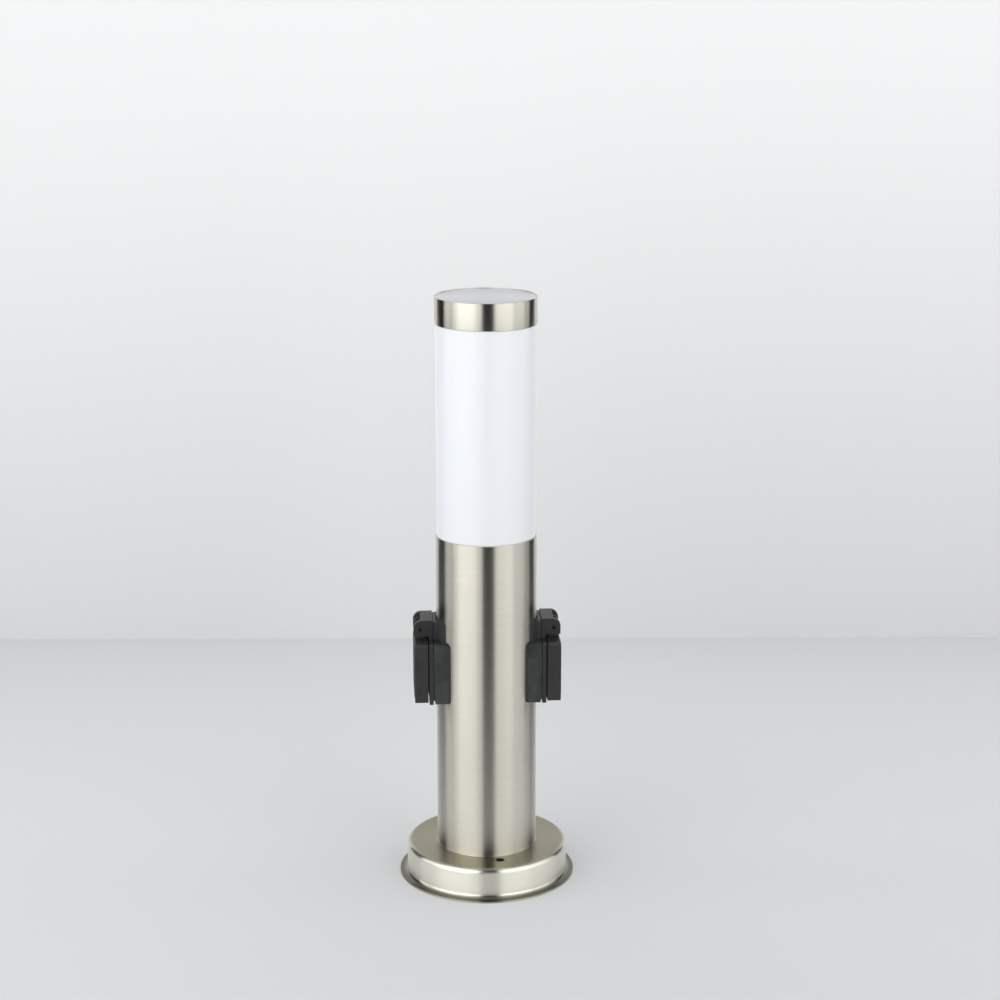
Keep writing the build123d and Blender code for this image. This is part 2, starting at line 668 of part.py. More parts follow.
def earth_lug():
    """Ring lug under the earth screw, with a crimp barrel."""
    x, y = EARTH_SCREW_PLACE
    low = HOLDER_PLATE_BOTTOM - EARTH_LUG_THICKNESS
    eye = rod_z(EARTH_LUG_RADIUS, low, HOLDER_PLATE_BOTTOM, x, y)
    half = EARTH_LUG_WIDTH / 2
    tongue = box((x - EARTH_LUG_LENGTH, x), (y - half, y + half), (low, HOLDER_PLATE_BOTTOM))
    hole = rod_z(EARTH_SCREW_RADIUS, low, HOLDER_PLATE_BOTTOM, x, y)
    return eye + tongue - hole


def bulb_screw_cap():
    """Screw cap of the lamp, with a rounded ridge for each turn of its thread."""
    root = SCREW_CAP_ROOT
    cap = ring_z(root, root - SCREW_CAP_WALL, SCREW_CAP_BOTTOM, COLLAR_BOTTOM)
    pitch = (SCREW_CAP_HEIGHT - 2 * SCREW_CAP_MARGIN) / SCREW_CAP_RIDGES
    for turn in range(SCREW_CAP_RIDGES):
        start = SCREW_CAP_BOTTOM + SCREW_CAP_MARGIN + turn * pitch
        low = start + THREAD_GAP
        high = start + pitch - THREAD_GAP
        cap += turned(
            (root - THREAD_BURY, low, 0),
            (root, low, 0),
            (SCREW_CAP_RADIUS, (low + high) / 2, pitch / 4),
            (root, high, 0),
            (root - THREAD_BURY, high, 0),
        )
    return cap


def bulb_insulator():
    """Dark ring between the screw cap and the tip contact."""
    return turned(
        (0, INSULATOR_BOTTOM, 0),
        (LAMP_TIP_RADIUS, INSULATOR_BOTTOM, 0),
        (SCREW_CAP_ROOT - SCREW_CAP_WALL, SCREW_CAP_BOTTOM, 0),
        (0, SCREW_CAP_BOTTOM, 0),
    )


def bulb_tip_contact():
    """Domed tip contact of the lamp."""
    return turned(
        (0, LAMP_BOTTOM, 0),
        (LAMP_TIP_RADIUS - LAMP_TIP_EDGE, LAMP_BOTTOM, LAMP_TIP_ROUNDING),
        (LAMP_TIP_RADIUS, INSULATOR_BOTTOM, 0),
        (0, INSULATOR_BOTTOM, 0),
    )


def bulb_collar():
    """Flared white housing between the screw cap and the globe."""
    root = SCREW_CAP_RADIUS - COLLAR_INSET
    waist = root + COLLAR_FLARE
    rim = LAMP_RADIUS - LAMP_SKIRT_DRAFT
    middle = COLLAR_BOTTOM + LAMP_COLLAR_HEIGHT * COLLAR_WAIST
    return turned(
        (root - LAMP_SHELL, COLLAR_BOTTOM, 0),
        (root, COLLAR_BOTTOM, COLLAR_EDGE_RADIUS),
        (waist, middle, COLLAR_FLARE_RADIUS),
        (rim, GLOBE_BOTTOM, 0),
        (rim - LAMP_SHELL, GLOBE_BOTTOM, 0),
        (waist - LAMP_SHELL, middle, COLLAR_FLARE_RADIUS),
    )


def bulb_envelope():
    """Opal globe of the lamp: a short skirt under a round dome."""
    rim = LAMP_RADIUS - LAMP_SKIRT_DRAFT
    inner = LAMP_RADIUS - LAMP_SHELL
    belly = GLOBE_BOTTOM + LAMP_SKIRT_HEIGHT
    return turned(
        (0, GLOBE_TOP - LAMP_SHELL, 0),
        (0, GLOBE_TOP, 0),
        (LAMP_RADIUS, GLOBE_TOP, LAMP_RADIUS - DOME_FLAT),
        (LAMP_RADIUS, belly, LAMP_SKIRT_HEIGHT),
        (rim, GLOBE_BOTTOM, 0),
        (rim - LAMP_SHELL, GLOBE_BOTTOM, 0),
        (inner, belly, LAMP_SKIRT_HEIGHT),
        (inner, GLOBE_TOP - LAMP_SHELL, inner - DOME_FLAT),
    )


def bulb_led_board():
    """Round circuit board with a ring of light-emitting chips."""
    rim = LAMP_RADIUS - LAMP_SKIRT_DRAFT - LAMP_SHELL
    board = rod_z(min(BOARD_RADIUS, rim), GLOBE_BOTTOM, GLOBE_BOTTOM + BOARD_THICKNESS)
    chip = Pos(0, 0, GLOBE_BOTTOM + BOARD_THICKNESS) * Box(
        *CHIP_SIZE, align=(Align.CENTER, Align.CENTER, Align.MIN)
    )
    for place in PolarLocations(CHIP_CIRCLE, CHIP_COUNT):
        board += place * chip
    return board


# ---- head -------------------------------------------------------------------------------


def diffuser():
    """Opal tube with a spigot at each end; the lower one carries a seal groove."""
    spigot = TUBE_INNER - LOWER_SPIGOT_GAP
    spigot_inner = spigot - LOWER_SPIGOT_WALL
    low = TUBE_TOP - LOWER_SPIGOT_LENGTH
    groove_middle = seal_height()
    groove_floor = seal_radius() - SEAL_SECTION_RADIUS
    groove_half = SEAL_SECTION_RADIUS + SEAL_GROOVE_GAP
    upper = CAP_INNER - UPPER_SPIGOT_GAP
    top = DIFFUSER_TOP + UPPER_SPIGOT_LENGTH
    inner = DIFFUSER_RADIUS - DIFFUSER_WALL
    upper_inner = min(inner, upper - DIFFUSER_WALL / 2)
    return turned(
        (spigot_inner, low, 0),
        (spigot, low, SPIGOT_EDGE_RADIUS),
        (spigot, groove_middle - groove_half, 0),
        (groove_floor, groove_middle - groove_half, 0),
        (groove_floor, groove_middle + groove_half, 0),
        (spigot, groove_middle + groove_half, 0),
        (spigot, TUBE_TOP, 0),
        (DIFFUSER_RADIUS, TUBE_TOP, DIFFUSER_EDGE_RADIUS),
        (DIFFUSER_RADIUS, DIFFUSER_TOP, DIFFUSER_EDGE_RADIUS),
        (upper, DIFFUSER_TOP, 0),
        (upper, top, SPIGOT_EDGE_RADIUS),
        (upper_inner, top, 0),
        (upper_inner, DIFFUSER_TOP, 0),
        (inner, DIFFUSER_TOP - SPIGOT_CONE, 0),
        (inner, TUBE_TOP + SPIGOT_CONE, 0),
        (spigot_inner, TUBE_TOP, 0),
    )


def seal_radius():
    """Middle radius of the head's sealing ring."""
    return TUBE_INNER - SEAL_GAP - SEAL_SECTION_RADIUS


def seal_height():
    """Height of the head's sealing ring."""
    return TUBE_TOP - LOWER_SPIGOT_LENGTH / 2


def seat_seal():
    """Sealing ring in the groove of the lower spigot."""
    return Pos(0, 0, seal_height()) * Torus(seal_radius(), SEAL_SECTION_RADIUS)


def cap_ring():
    """Steel ring that makes the side of the cap."""
    return ring_z(TUBE_RADIUS, CAP_INNER, DIFFUSER_TOP, TOTAL_HEIGHT)


def cap_disc():
    """Flat top of the cap, set a little below the ring's edge."""
    top = TOTAL_HEIGHT - CAP_DISC_RECESS
    return rod_z(CAP_INNER, top - CAP_DISC_THICKNESS, top)


def cap_seal():
    """Silicone ring between the cap and the diffuser's upper spigot."""
    low = DIFFUSER_TOP + CAP_SEAL_LIFT
    return ring_z(CAP_INNER, CAP_INNER - UPPER_SPIGOT_GAP, low, low + CAP_SEAL_LENGTH)


# ---- outlet, built facing +X ---------------------------------------------------------------


def saddle():
    """Housing that brings the round post out to the outlet's flat face."""
    body = box((SADDLE_BACK, SADDLE_FACE), (-HALF_WIDTH, HALF_WIDTH), (SADDLE_BOTTOM, SADDLE_TOP))
    back_edges = body.edges().filter_by(Axis.Y).group_by(Axis.X)[0]
    body = fillet(back_edges, SADDLE_CORNER_RADIUS)
    side_edges = body.edges().filter_by(Axis.Z).group_by(Axis.X)[-1]
    body = fillet(side_edges, SADDLE_EDGE_RADIUS)
    body -= box(
        (SADDLE_FACE - SADDLE_STEP_WIDTH, SADDLE_FACE),
        (-HALF_WIDTH, HALF_WIDTH),
        (SADDLE_BOTTOM, SADDLE_BOTTOM + SADDLE_STEP_HEIGHT),
    )
    neck = box(
        (SADDLE_BACK, SADDLE_FACE),
        (-HINGE_HALF, HINGE_HALF),
        (SADDLE_TOP - NECK_OVERLAP, BLOCK_TOP - NECK_STEP),
    )
    body += fillet(neck.edges().filter_by(Axis.X).group_by(Axis.Z)[-1], SADDLE_EDGE_RADIUS)
    body -= rod_z(SADDLE_CUT_RADIUS, 0, TUBE_TOP)
    body -= rod_x(WINDOW_RADIUS, 0, SADDLE_FACE, z=OUTLET_HEIGHT)
    return body - screw_holes(SCREW_HOLE_RADIUS, 0, SADDLE_FACE)


def saddle_gasket():
    """Rubber sheet between the saddle and the post, with a tab behind the hinge."""
    low = SADDLE_BOTTOM - SADDLE_GASKET_PROUD
    high = SADDLE_TOP + SADDLE_GASKET_PROUD
    width = OUTLET_WIDTH + 2 * SADDLE_GASKET_PROUD
    outline = plate_x(width, low, high, SADDLE_CORNER_RADIUS, 0, SADDLE_CUT_RADIUS)
    outline += plate_x(
        GASKET_TAB_WIDTH, OUTLET_HEIGHT, GASKET_TAB_TOP, SADDLE_CORNER_RADIUS, 0, SADDLE_CUT_RADIUS
    )
    sheet = ring_z(SADDLE_CUT_RADIUS, TUBE_RADIUS, low, GASKET_TAB_TOP)
    gasket = sheet & outline
    gasket -= rod_x(WINDOW_RADIUS, 0, SADDLE_FACE, z=OUTLET_HEIGHT)
    return gasket - screw_holes(SCREW_HOLE_RADIUS, 0, SADDLE_FACE)


def backing_plate():
    """Curved plate inside the post that the flange screws thread into."""
    outer = TUBE_INNER - BACKING_GAP
    sheet = ring_z(outer, outer - BACKING_THICKNESS, FRAME_BOTTOM, FRAME_TOP)
    half = FLANGE_SCREW_SPACING / 2 + BACKING_MARGIN
    zone = plate_x(
        2 * half,
        OUTLET_HEIGHT - half,
        OUTLET_HEIGHT + half,
        BACKING_CORNER_RADIUS,
        0,
        TUBE_RADIUS,
    )
    plate = sheet & zone
    plate -= rod_x(WINDOW_RADIUS, 0, TUBE_RADIUS, z=OUTLET_HEIGHT)
    return plate - screw_holes(FLANGE_SCREW_RADIUS, 0, TUBE_RADIUS)


def frame_gasket():
    """Thin sealing sheet between the outlet frame and the saddle."""
    inset = FRAME_GASKET_INSET
    sheet = plate_x(
        OUTLET_WIDTH - 2 * inset,
        SADDLE_BOTTOM + SADDLE_STEP_HEIGHT,
        SADDLE_TOP - inset,
        FRAME_GASKET_CORNER,
        SADDLE_FACE,
        FLAT_FACE_DISTANCE,
    )
    sheet += box(
        (SADDLE_FACE, FLAT_FACE_DISTANCE),
        (-HINGE_HALF + inset, HINGE_HALF - inset),
        (FRAME_TOP - 2 * FRAME_LIP, BLOCK_TOP - NECK_STEP - inset),
    )
    sheet -= rod_x(WINDOW_RADIUS, SADDLE_FACE, FLAT_FACE_DISTANCE, z=OUTLET_HEIGHT)
    return sheet - screw_holes(SCREW_HOLE_RADIUS, SADDLE_FACE, FLAT_FACE_DISTANCE)


def socket_frame():
    """Square outlet frame with the lid's hinge block on top."""
    frame = plate_x(
        OUTLET_WIDTH,
        FRAME_BOTTOM,
        FRAME_TOP,
        FRAME_CORNER_RADIUS,
        FLAT_FACE_DISTANCE,
        FRAME_FRONT,
    )
    frame = chamfer(frame.edges().group_by(Axis.X)[-1], FRAME_EDGE)
    block = box(
        (FLAT_FACE_DISTANCE, BLOCK_OUTER),
        (-HINGE_HALF, HINGE_HALF),
        (HINGE_HEIGHT - EAR_DROP, BLOCK_TOP),
    )
    corner = block.edges().filter_by(Axis.Y).group_by(Axis.X)[-1].group_by(Axis.Z)[-1]
    block = fillet(corner, HINGE_BLOCK_CORNER)
    foot = block.edges().filter_by(Axis.Y).group_by(Axis.X)[-1].group_by(Axis.Z)[0]
    block = fillet(foot, HINGE_BLOCK_FOOT_RADIUS)
    block += box(
        (FLAT_FACE_DISTANCE, FRAME_FRONT),
        (-HINGE_HALF, HINGE_HALF),
        (FRAME_TOP - NECK_OVERLAP, HINGE_HEIGHT),
    )
    block -= box(
        (CAVITY_BACK, BLOCK_OUTER),
        (-CAVITY_HALF, CAVITY_HALF),
        (HINGE_HEIGHT - EAR_DROP, CAVITY_ROOF),
    )
    block -= box(
        (HINGE_DISTANCE, BLOCK_OUTER), (-CAVITY_HALF, CAVITY_HALF), (HINGE_HEIGHT, BLOCK_TOP)
    )
    frame += block
    frame -= rod_y(PIN_RADIUS, -HINGE_HALF, HINGE_HALF, HINGE_DISTANCE, HINGE_HEIGHT)
    frame -= rod_x(INSERT_RADIUS + INSERT_GAP, 0, FRAME_FRONT, z=OUTLET_HEIGHT)
    for y, z in screw_corners():
        frame -= rod_x(SCREW_HOLE_RADIUS, 0, FRAME_FRONT, y, z)
        frame -= Pos(FRAME_FRONT - SINK_DEPTH / 2, y, z) * sink_cone(SCREW_CLEARANCE)
    return frame


def sink_cone(clearance):
    """Countersunk head, widening towards +X."""
    return Rot(Y=90) * Cone(
        FLANGE_SCREW_RADIUS + clearance, SINK_HEAD_RADIUS + clearance, SINK_DEPTH
    )


def frame_screws():
    """Four countersunk screws that clamp the outlet to the post."""
    narrow = (-CROSS_WIDTH / 2, CROSS_WIDTH / 2)
    wide = (-CROSS_LENGTH / 2, CROSS_LENGTH / 2)
    cross = box(narrow, wide, narrow) + box(narrow, narrow, wide)
    seat = FRAME_FRONT - SINK_DEPTH
    screws = []
    for y, z in screw_corners():
        one = Pos(seat + SINK_DEPTH / 2 - SINK_SETBACK, y, z) * sink_cone(0)
        one += rod_x(FLANGE_SCREW_RADIUS, seat - FLANGE_SCREW_LENGTH, seat, y, z)
        screws.append(one - Pos(FRAME_FRONT - CROSS_WIDTH / 2, y, z) * cross)
    return Compound(children=screws)


def socket_insert():
    """Round outlet well with guide ribs, two pin holes and slots for the earth clips."""
    body = rod_x(INSERT_RADIUS, INSERT_BACK, FRAME_FRONT, z=OUTLET_HEIGHT)
    body += rod_x(
        INSERT_RADIUS + INSERT_COLLAR,
        FLAT_FACE_DISTANCE - INSERT_COLLAR_LENGTH,
        FLAT_FACE_DISTANCE,
        z=OUTLET_HEIGHT,
    )
    body -= rod_x(RECESS_RADIUS, RECESS_FLOOR, FRAME_FRONT, z=OUTLET_HEIGHT)
    mouth = body.edges().filter_by(GeomType.CIRCLE).group_by(Axis.X)[-1]
    body = chamfer(mouth.sort_by(SortBy.RADIUS)[0], MOUTH_EDGE)
    for side in (-1, 1):
        rib_inner = side * (RECESS_RADIUS - GUIDE_RIB_RISE)
        rib_outer = side * (RECESS_RADIUS + GUIDE_RIB_BURY)
        body += box(
            (RECESS_FLOOR - GUIDE_RIB_BURY, FRAME_FRONT - GUIDE_RIB_SETBACK),
            tuple(sorted((rib_inner, rib_outer))),
            (OUTLET_HEIGHT - GUIDE_RIB_WIDTH / 2, OUTLET_HEIGHT + GUIDE_RIB_WIDTH / 2),
        )
        y = side * PIN_SPACING / 2
        body -= rod_x(PIN_HOLE_RADIUS, INSERT_BACK, RECESS_FLOOR, y, OUTLET_HEIGHT)
        body -= rod_x(SLEEVE_RADIUS, INSERT_BACK, INSERT_BACK + SLEEVE_LENGTH, y, OUTLET_HEIGHT)
        slot_near = side * (EARTH_CLIP_REACH - EARTH_CLIP_GAP)
        slot_far = side * (EARTH_CLIP_REACH + EARTH_CLIP_THICKNESS + EARTH_CLIP_GAP)
        slot_half = EARTH_CLIP_WIDTH / 2 + EARTH_CLIP_GAP
        body -= box(
            (INSERT_BACK, RECESS_FLOOR),
            (-slot_half, slot_half),
            tuple(sorted((OUTLET_HEIGHT + slot_near, OUTLET_HEIGHT + slot_far))),
        )
    return body


def socket_contacts():
    """Two brass sleeves behind the pin holes."""
    sleeves = []
    for side in (-1, 1):
        y = side * PIN_SPACING / 2
        ends = (INSERT_BACK, INSERT_BACK + SLEEVE_LENGTH)
        sleeve = rod_x(SLEEVE_RADIUS, *ends, y, OUTLET_HEIGHT)
        sleeves.append(sleeve - rod_x(SLEEVE_BORE_RADIUS, *ends, y, OUTLET_HEIGHT))
    return Compound(children=sleeves)


def earth_clips():
    """Spring strap with an earth clip at the top and bottom of the well."""
    half = EARTH_CLIP_WIDTH / 2
    outer = EARTH_CLIP_REACH + EARTH_CLIP_THICKNESS
    strap = box(
        (INSERT_BACK - EARTH_CLIP_THICKNESS, INSERT_BACK),
        (-half, half),
        (OUTLET_HEIGHT - outer, OUTLET_HEIGHT + outer),
    )
    for side in (-1, 1):
        near = OUTLET_HEIGHT + side * EARTH_CLIP_REACH
        far = OUTLET_HEIGHT + side * outer
        strap += box(
            (INSERT_BACK - EARTH_CLIP_THICKNESS, RECESS_FLOOR + EARTH_CLIP_LENGTH),
            (-half, half),
            tuple(sorted((near, far))),
        )
    return strap


def hinge_pin():
    """Pin through the hinge ears and the lid's knuckles."""
    half = HINGE_HALF - PIN_RECESS
    return rod_y(PIN_RADIUS, -half, half, HINGE_DISTANCE, HINGE_HEIGHT)


def lid_spring():
    """Torsion spring round the pin, between the lid's two knuckles."""
    length = SPRING_SLOT_WIDTH - 2 * (SPRING_WIRE_RADIUS + SPRING_END_GAP)
    coil_path = Helix(length / SPRING_TURNS, length, SPRING_RADIUS)
    section = Plane(origin=coil_path @ 0, z_dir=coil_path % 0) * Circle(SPRING_WIRE_RADIUS)
    coil = sweep(section, path=coil_path, is_frenet=True)
    return Pos(HINGE_DISTANCE, length / 2, HINGE_HEIGHT) * Rot(X=90) * coil


def lid():
    """Hollow lid with an arm that rises to two knuckles on the hinge pin."""
    shell = plate_x(OUTLET_WIDTH, LID_BOTTOM, LID_TOP, LID_CORNER_RADIUS, LID_BACK, LID_FRONT)
    shell = fillet(shell.edges().group_by(Axis.X)[-1], LID_EDGE_RADIUS)
    shell -= plate_x(
        OUTLET_WIDTH - 2 * LID_WALL,
        LID_BOTTOM + LID_WALL,
        LID_TOP - LID_WALL,
        LID_CORNER_RADIUS,
        LID_BACK,
        LID_FRONT - LID_WALL,
    )
    boss_ends = (LID_BACK + LID_BOSS_DROP, LID_FRONT - LID_WALL)
    boss = rod_x(LID_SEAL_OUTER + LID_BOSS_WALL, *boss_ends, z=OUTLET_HEIGHT)
    boss -= rod_x(LID_SEAL_INNER - LID_BOSS_WALL, *boss_ends, z=OUTLET_HEIGHT)
    shell += boss & box(boss_ends, (-HALF_WIDTH, HALF_WIDTH), (LID_BOTTOM, LID_TOP))
    shell -= seal_ring(LID_BACK, boss_ends[0] + LID_GROOVE_DEPTH)
    half_arm = LID_ARM_THICKNESS / 2
    arm = box(
        (HINGE_DISTANCE - half_arm, HINGE_DISTANCE + half_arm),
        (-KNUCKLE_HALF, KNUCKLE_HALF),
        (LID_TOP - LID_WALL / 2, HINGE_HEIGHT),
    )
    arm += rod_y(KNUCKLE_RADIUS, -KNUCKLE_HALF, KNUCKLE_HALF, HINGE_DISTANCE, HINGE_HEIGHT)
    slot_half = SPRING_SLOT_WIDTH / 2
    arm -= box(
        (CAVITY_BACK, BLOCK_OUTER),
        (-slot_half, slot_half),
        (HINGE_HEIGHT - KNUCKLE_RADIUS - SPRING_SLOT_DEPTH, CAVITY_ROOF),
    )
    arm -= rod_y(
        PIN_RADIUS + PIN_RUNNING_GAP, -KNUCKLE_HALF, KNUCKLE_HALF, HINGE_DISTANCE, HINGE_HEIGHT
    )
    return shell + arm


def seal_ring(x_low, x_high):
    """Ring of the lid seal's section between two places on X."""
    ring = rod_x(LID_SEAL_OUTER, x_low, x_high, z=OUTLET_HEIGHT)
    return ring - rod_x(LID_SEAL_INNER, x_low, x_high, z=OUTLET_HEIGHT)


def lid_seal():
    """Rubber ring in the lid that closes on the outlet's rim."""
    return seal_ring(FRAME_FRONT + LID_SEAL_GAP, LID_BACK + LID_BOSS_DROP + LID_GROOVE_DEPTH)


# ---- wires --------------------------------------------------------------------------------


def feed_wire(pole, run, y, x_end, z_end):
    """Wire from a terminal pole up the post and into the back of an outlet.

    The side of the post is the sign of run and x_end.
    """
    side = math.copysign(WIRE_PAIR_OFFSET, run)
    funnel_floor = BLOCK_TOP_FACE - BLOCK_FUNNEL[2]
    rise = OUTLET_HEIGHT - BLOCK_TOP_FACE
    low_bend = BLOCK_TOP_FACE + rise * FEED_LOW_BEND
    high_bend = BLOCK_TOP_FACE + rise * FEED_HIGH_BEND
    return wire(
        [
            (pole + side, BLOCK_MIDDLE, funnel_floor + WIRE_END_GAP),
            (pole + side, BLOCK_MIDDLE, low_bend),
            (run, y, high_bend),
            (run, y, z_end),
            (x_end, y, z_end),
        ]
    )


def core_wires(pole, y, holder_x):
    """The two outlet feeds and the lamp wire of one supply core."""
    x_end = INSERT_BACK + WIRE_REACH
    z_up = OUTLET_HEIGHT + WIRE_END_OFFSET
    plate_span = HOLDER_PLATE_BOTTOM - OUTLET_HEIGHT
    lamp_wire = wire(
        [
            (x_end, y, z_up),
            (UP_RUN, y, z_up),
            (UP_RUN, y * UP_RUN_DRIFT, OUTLET_HEIGHT + plate_span * UP_RUN_CROSSING),
            (holder_x, 0, OUTLET_HEIGHT + plate_span * LAMP_WIRE_TURN),
            (holder_x, 0, HOLDER_SEAT + HOLDER_WIRE_DEPTH - WIRE_REACH),
        ]
    )
    right_feed = feed_wire(pole, CORE_RUN, y, x_end, OUTLET_HEIGHT - WIRE_END_OFFSET)
    left_feed = feed_wire(pole, -CORE_RUN, y, -x_end, OUTLET_HEIGHT)
    return Compound(children=[right_feed, left_feed, lamp_wire])


def wires_live():
    """Brown wires."""
    return core_wires(-BLOCK_POLE_PITCH, PIN_SPACING / 2, -HOLDER_WIRE_OFFSET)


def wires_neutral():
    """Blue wires."""
    return core_wires(BLOCK_POLE_PITCH, -PIN_SPACING / 2, HOLDER_WIRE_OFFSET)


def wires_earth():
    """Green and yellow wires to both outlets' clips and to the holder plate."""
    strap_face = INSERT_BACK - EARTH_CLIP_THICKNESS
    z_up = OUTLET_HEIGHT + WIRE_END_OFFSET
    plate_span = HOLDER_PLATE_BOTTOM - OUTLET_HEIGHT
    lug_x = EARTH_SCREW_PLACE[0] - EARTH_LUG_LENGTH + WIRE_RADIUS
    plate_wire = wire(
        [
            (strap_face, 0, z_up),
            (EARTH_RUN, 0, z_up),
            (EARTH_RUN, 0, OUTLET_HEIGHT + plate_span * UP_RUN_CROSSING),
            (lug_x, 0, OUTLET_HEIGHT + plate_span * EARTH_WIRE_TURN),
            (lug_x, 0, HOLDER_PLATE_BOTTOM - EARTH_LUG_THICKNESS),
        ]
    )
    right_feed = feed_wire(0, EARTH_RUN, 0, strap_face, OUTLET_HEIGHT - WIRE_END_OFFSET)
    left_feed = feed_wire(0, -EARTH_RUN, 0, -strap_face, OUTLET_HEIGHT)
    return Compound(children=[right_feed, left_feed, plate_wire])


# ---- writing ------------------------------------------------------------------------------

SINGLE_PARTS = (
    base_cover,
    base_plate,
    cable_grommet,
    post_tube,
    terminal_bracket,
    bracket_screws,
    terminal_block,
    terminal_contacts,
    terminal_screws,
    holder_plate,
    lamp_holder,
    lamp_holder_shell,
    lamp_holder_contact,
    lamp_holder_screws,
    earth_screw,
    earth_lug,
    wires_live,
    wires_neutral,
    wires_earth,
    bulb_screw_cap,
    bulb_insulator,
    bulb_tip_contact,
    bulb_collar,
    bulb_led_board,
    bulb_envelope,
    diffuser,
    seat_seal,
    cap_seal,
    cap_ring,
    cap_disc,
)

OUTLET_PARTS = (
    saddle,
    saddle_gasket,
    backing_plate,
    frame_gasket,
    socket_frame,
    frame_screws,
    socket_insert,
    socket_contacts,
    earth_clips,
    hinge_pin,
    lid_spring,
    lid,
    lid_seal,
)


def main():
    """Write every sub-part to its own file."""
    os.makedirs("parts", exist_ok=True)
    for make in SINGLE_PARTS:
        export_step(make(), f"parts/{make.__name__}.step")
    for make in OUTLET_PARTS:
        piece = make()
        for side, turn in SIDES.items():
            export_step(Rot(Z=turn) * piece, f"parts/{side}_{make.__name__}.step")


main()
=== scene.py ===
"""Studio scene of a garden bollard light with two lidded power outlets."""
import logging
import math
from dataclasses import dataclass
from enum import Enum

import bmesh
import bpy
from mathutils import Matrix, Vector


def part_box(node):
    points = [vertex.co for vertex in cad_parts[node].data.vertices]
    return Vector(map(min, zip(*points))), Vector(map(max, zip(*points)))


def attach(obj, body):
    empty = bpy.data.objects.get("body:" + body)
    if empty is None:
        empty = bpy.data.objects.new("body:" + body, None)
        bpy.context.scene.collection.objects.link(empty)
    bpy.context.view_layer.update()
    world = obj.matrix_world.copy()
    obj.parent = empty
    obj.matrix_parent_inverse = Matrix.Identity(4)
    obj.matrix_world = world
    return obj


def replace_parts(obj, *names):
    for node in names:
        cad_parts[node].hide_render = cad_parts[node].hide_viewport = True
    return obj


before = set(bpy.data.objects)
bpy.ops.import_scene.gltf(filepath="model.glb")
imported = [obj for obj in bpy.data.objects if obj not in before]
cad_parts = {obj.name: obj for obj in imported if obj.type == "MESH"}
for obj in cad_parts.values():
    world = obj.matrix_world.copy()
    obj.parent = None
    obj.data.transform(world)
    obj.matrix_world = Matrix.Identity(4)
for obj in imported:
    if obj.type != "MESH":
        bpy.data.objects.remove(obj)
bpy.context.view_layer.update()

LOG = logging.getLogger("bollard_light")
MM = 0.001
WHITE_LIGHT = (1.0, 1.0, 1.0)
SMOOTH_ANGLE = 50.0          # degrees; sharper edges than this stay sharp
Colour = tuple[float, float, float]
Section = list[tuple[float, float]]


# ---- shader graph --------------------------------------------------------------------------


class Graph:
    """A node tree that is being filled.

    Args:
        tree: The node tree that new nodes go into.
    """

    def __init__(self, tree: bpy.types.NodeTree) -> None:
        self.tree = tree

    def node(self, kind: str, settings: dict | None = None, **inputs: object) -> bpy.types.Node:
        """Add one node, set it up, then feed its sockets.

        Args:
            kind: The node's type name without its ShaderNode prefix.
            settings: Properties to set first.
            **inputs: Values or links, keyed by socket name with underscores for spaces,
                or by i0, i1 and so on for sockets that share a name.

        Returns:
            The new node.
        """
        made = self.tree.nodes.new("ShaderNode" + kind)
        for name, value in (settings or {}).items():
            setattr(made, name, value)
        for name, value in inputs.items():
            if name[0] == "i" and name[1:].isdigit():
                socket = made.inputs[int(name[1:])]
            else:
                socket = made.inputs[name.replace("_", " ")]
            self.feed(socket, value)
        return made

    def feed(self, socket: bpy.types.NodeSocket, value: object) -> None:
        """Link a signal to a socket, or set the socket to a plain value.

        Args:
            socket: The input socket.
            value: What it gets.
        """
        if isinstance(value, Signal):
            self.tree.links.new(value.socket, socket)
        elif isinstance(value, bpy.types.NodeSocket):
            self.tree.links.new(value, socket)
        elif isinstance(value, tuple) and len(value) == 3 and socket.type == "RGBA":
            socket.default_value = (*value, 1.0)
        else:
            socket.default_value = value

    def signal(self, kind: str, output: int | str = 0, settings: dict | None = None,
               **inputs: object) -> "Signal":
        """Add one node and wrap one of its outputs."""
        made = self.node(kind, settings, **inputs)
        return Signal(self, made.outputs[output])


class Signal:
    """A varying number in a shader, with arithmetic that adds Math nodes.

    Args:
        graph: The graph that new Math nodes go into.
        socket: The output socket that carries the number.
    """

    def __init__(self, graph: Graph, socket: bpy.types.NodeSocket) -> None:
        self.graph = graph
        self.socket = socket

    def _math(self, operation: str, first: object, second: object) -> "Signal":
        """Add a Math node on two values."""
        return self.graph.signal("Math", 0, {"operation": operation}, i0=first, i1=second)

    def __add__(self, other: object) -> "Signal":
        """Sum."""
        return self._math("ADD", self, other)

    __radd__ = __add__

    def __sub__(self, other: object) -> "Signal":
        """Difference."""
        return self._math("SUBTRACT", self, other)

    def __rsub__(self, other: object) -> "Signal":
        """Difference the other way round."""
        return self._math("SUBTRACT", other, self)

    def __mul__(self, other: object) -> "Signal":
        """Product."""
        return self._math("MULTIPLY", self, other)

    __rmul__ = __mul__

    def __gt__(self, other: object) -> "Signal":
        """One where this is the greater."""
        return self._math("GREATER_THAN", self, other)

    def __lt__(self, other: object) -> "Signal":
        """One where this is the lesser."""
        return self._math("LESS_THAN", self, other)

    def blend(self, low: Colour, high: Colour) -> "Signal":
        """Mix two colours by this number.

        Args:
            low: The colour at zero.
            high: The colour at one.

        Returns:
            The mixed colour.
        """
        settings = {"data_type": "RGBA"}
        return self.graph.signal("Mix", 2, settings, Factor=self, i6=low, i7=high)


# ---- finishes ------------------------------------------------------------------------------


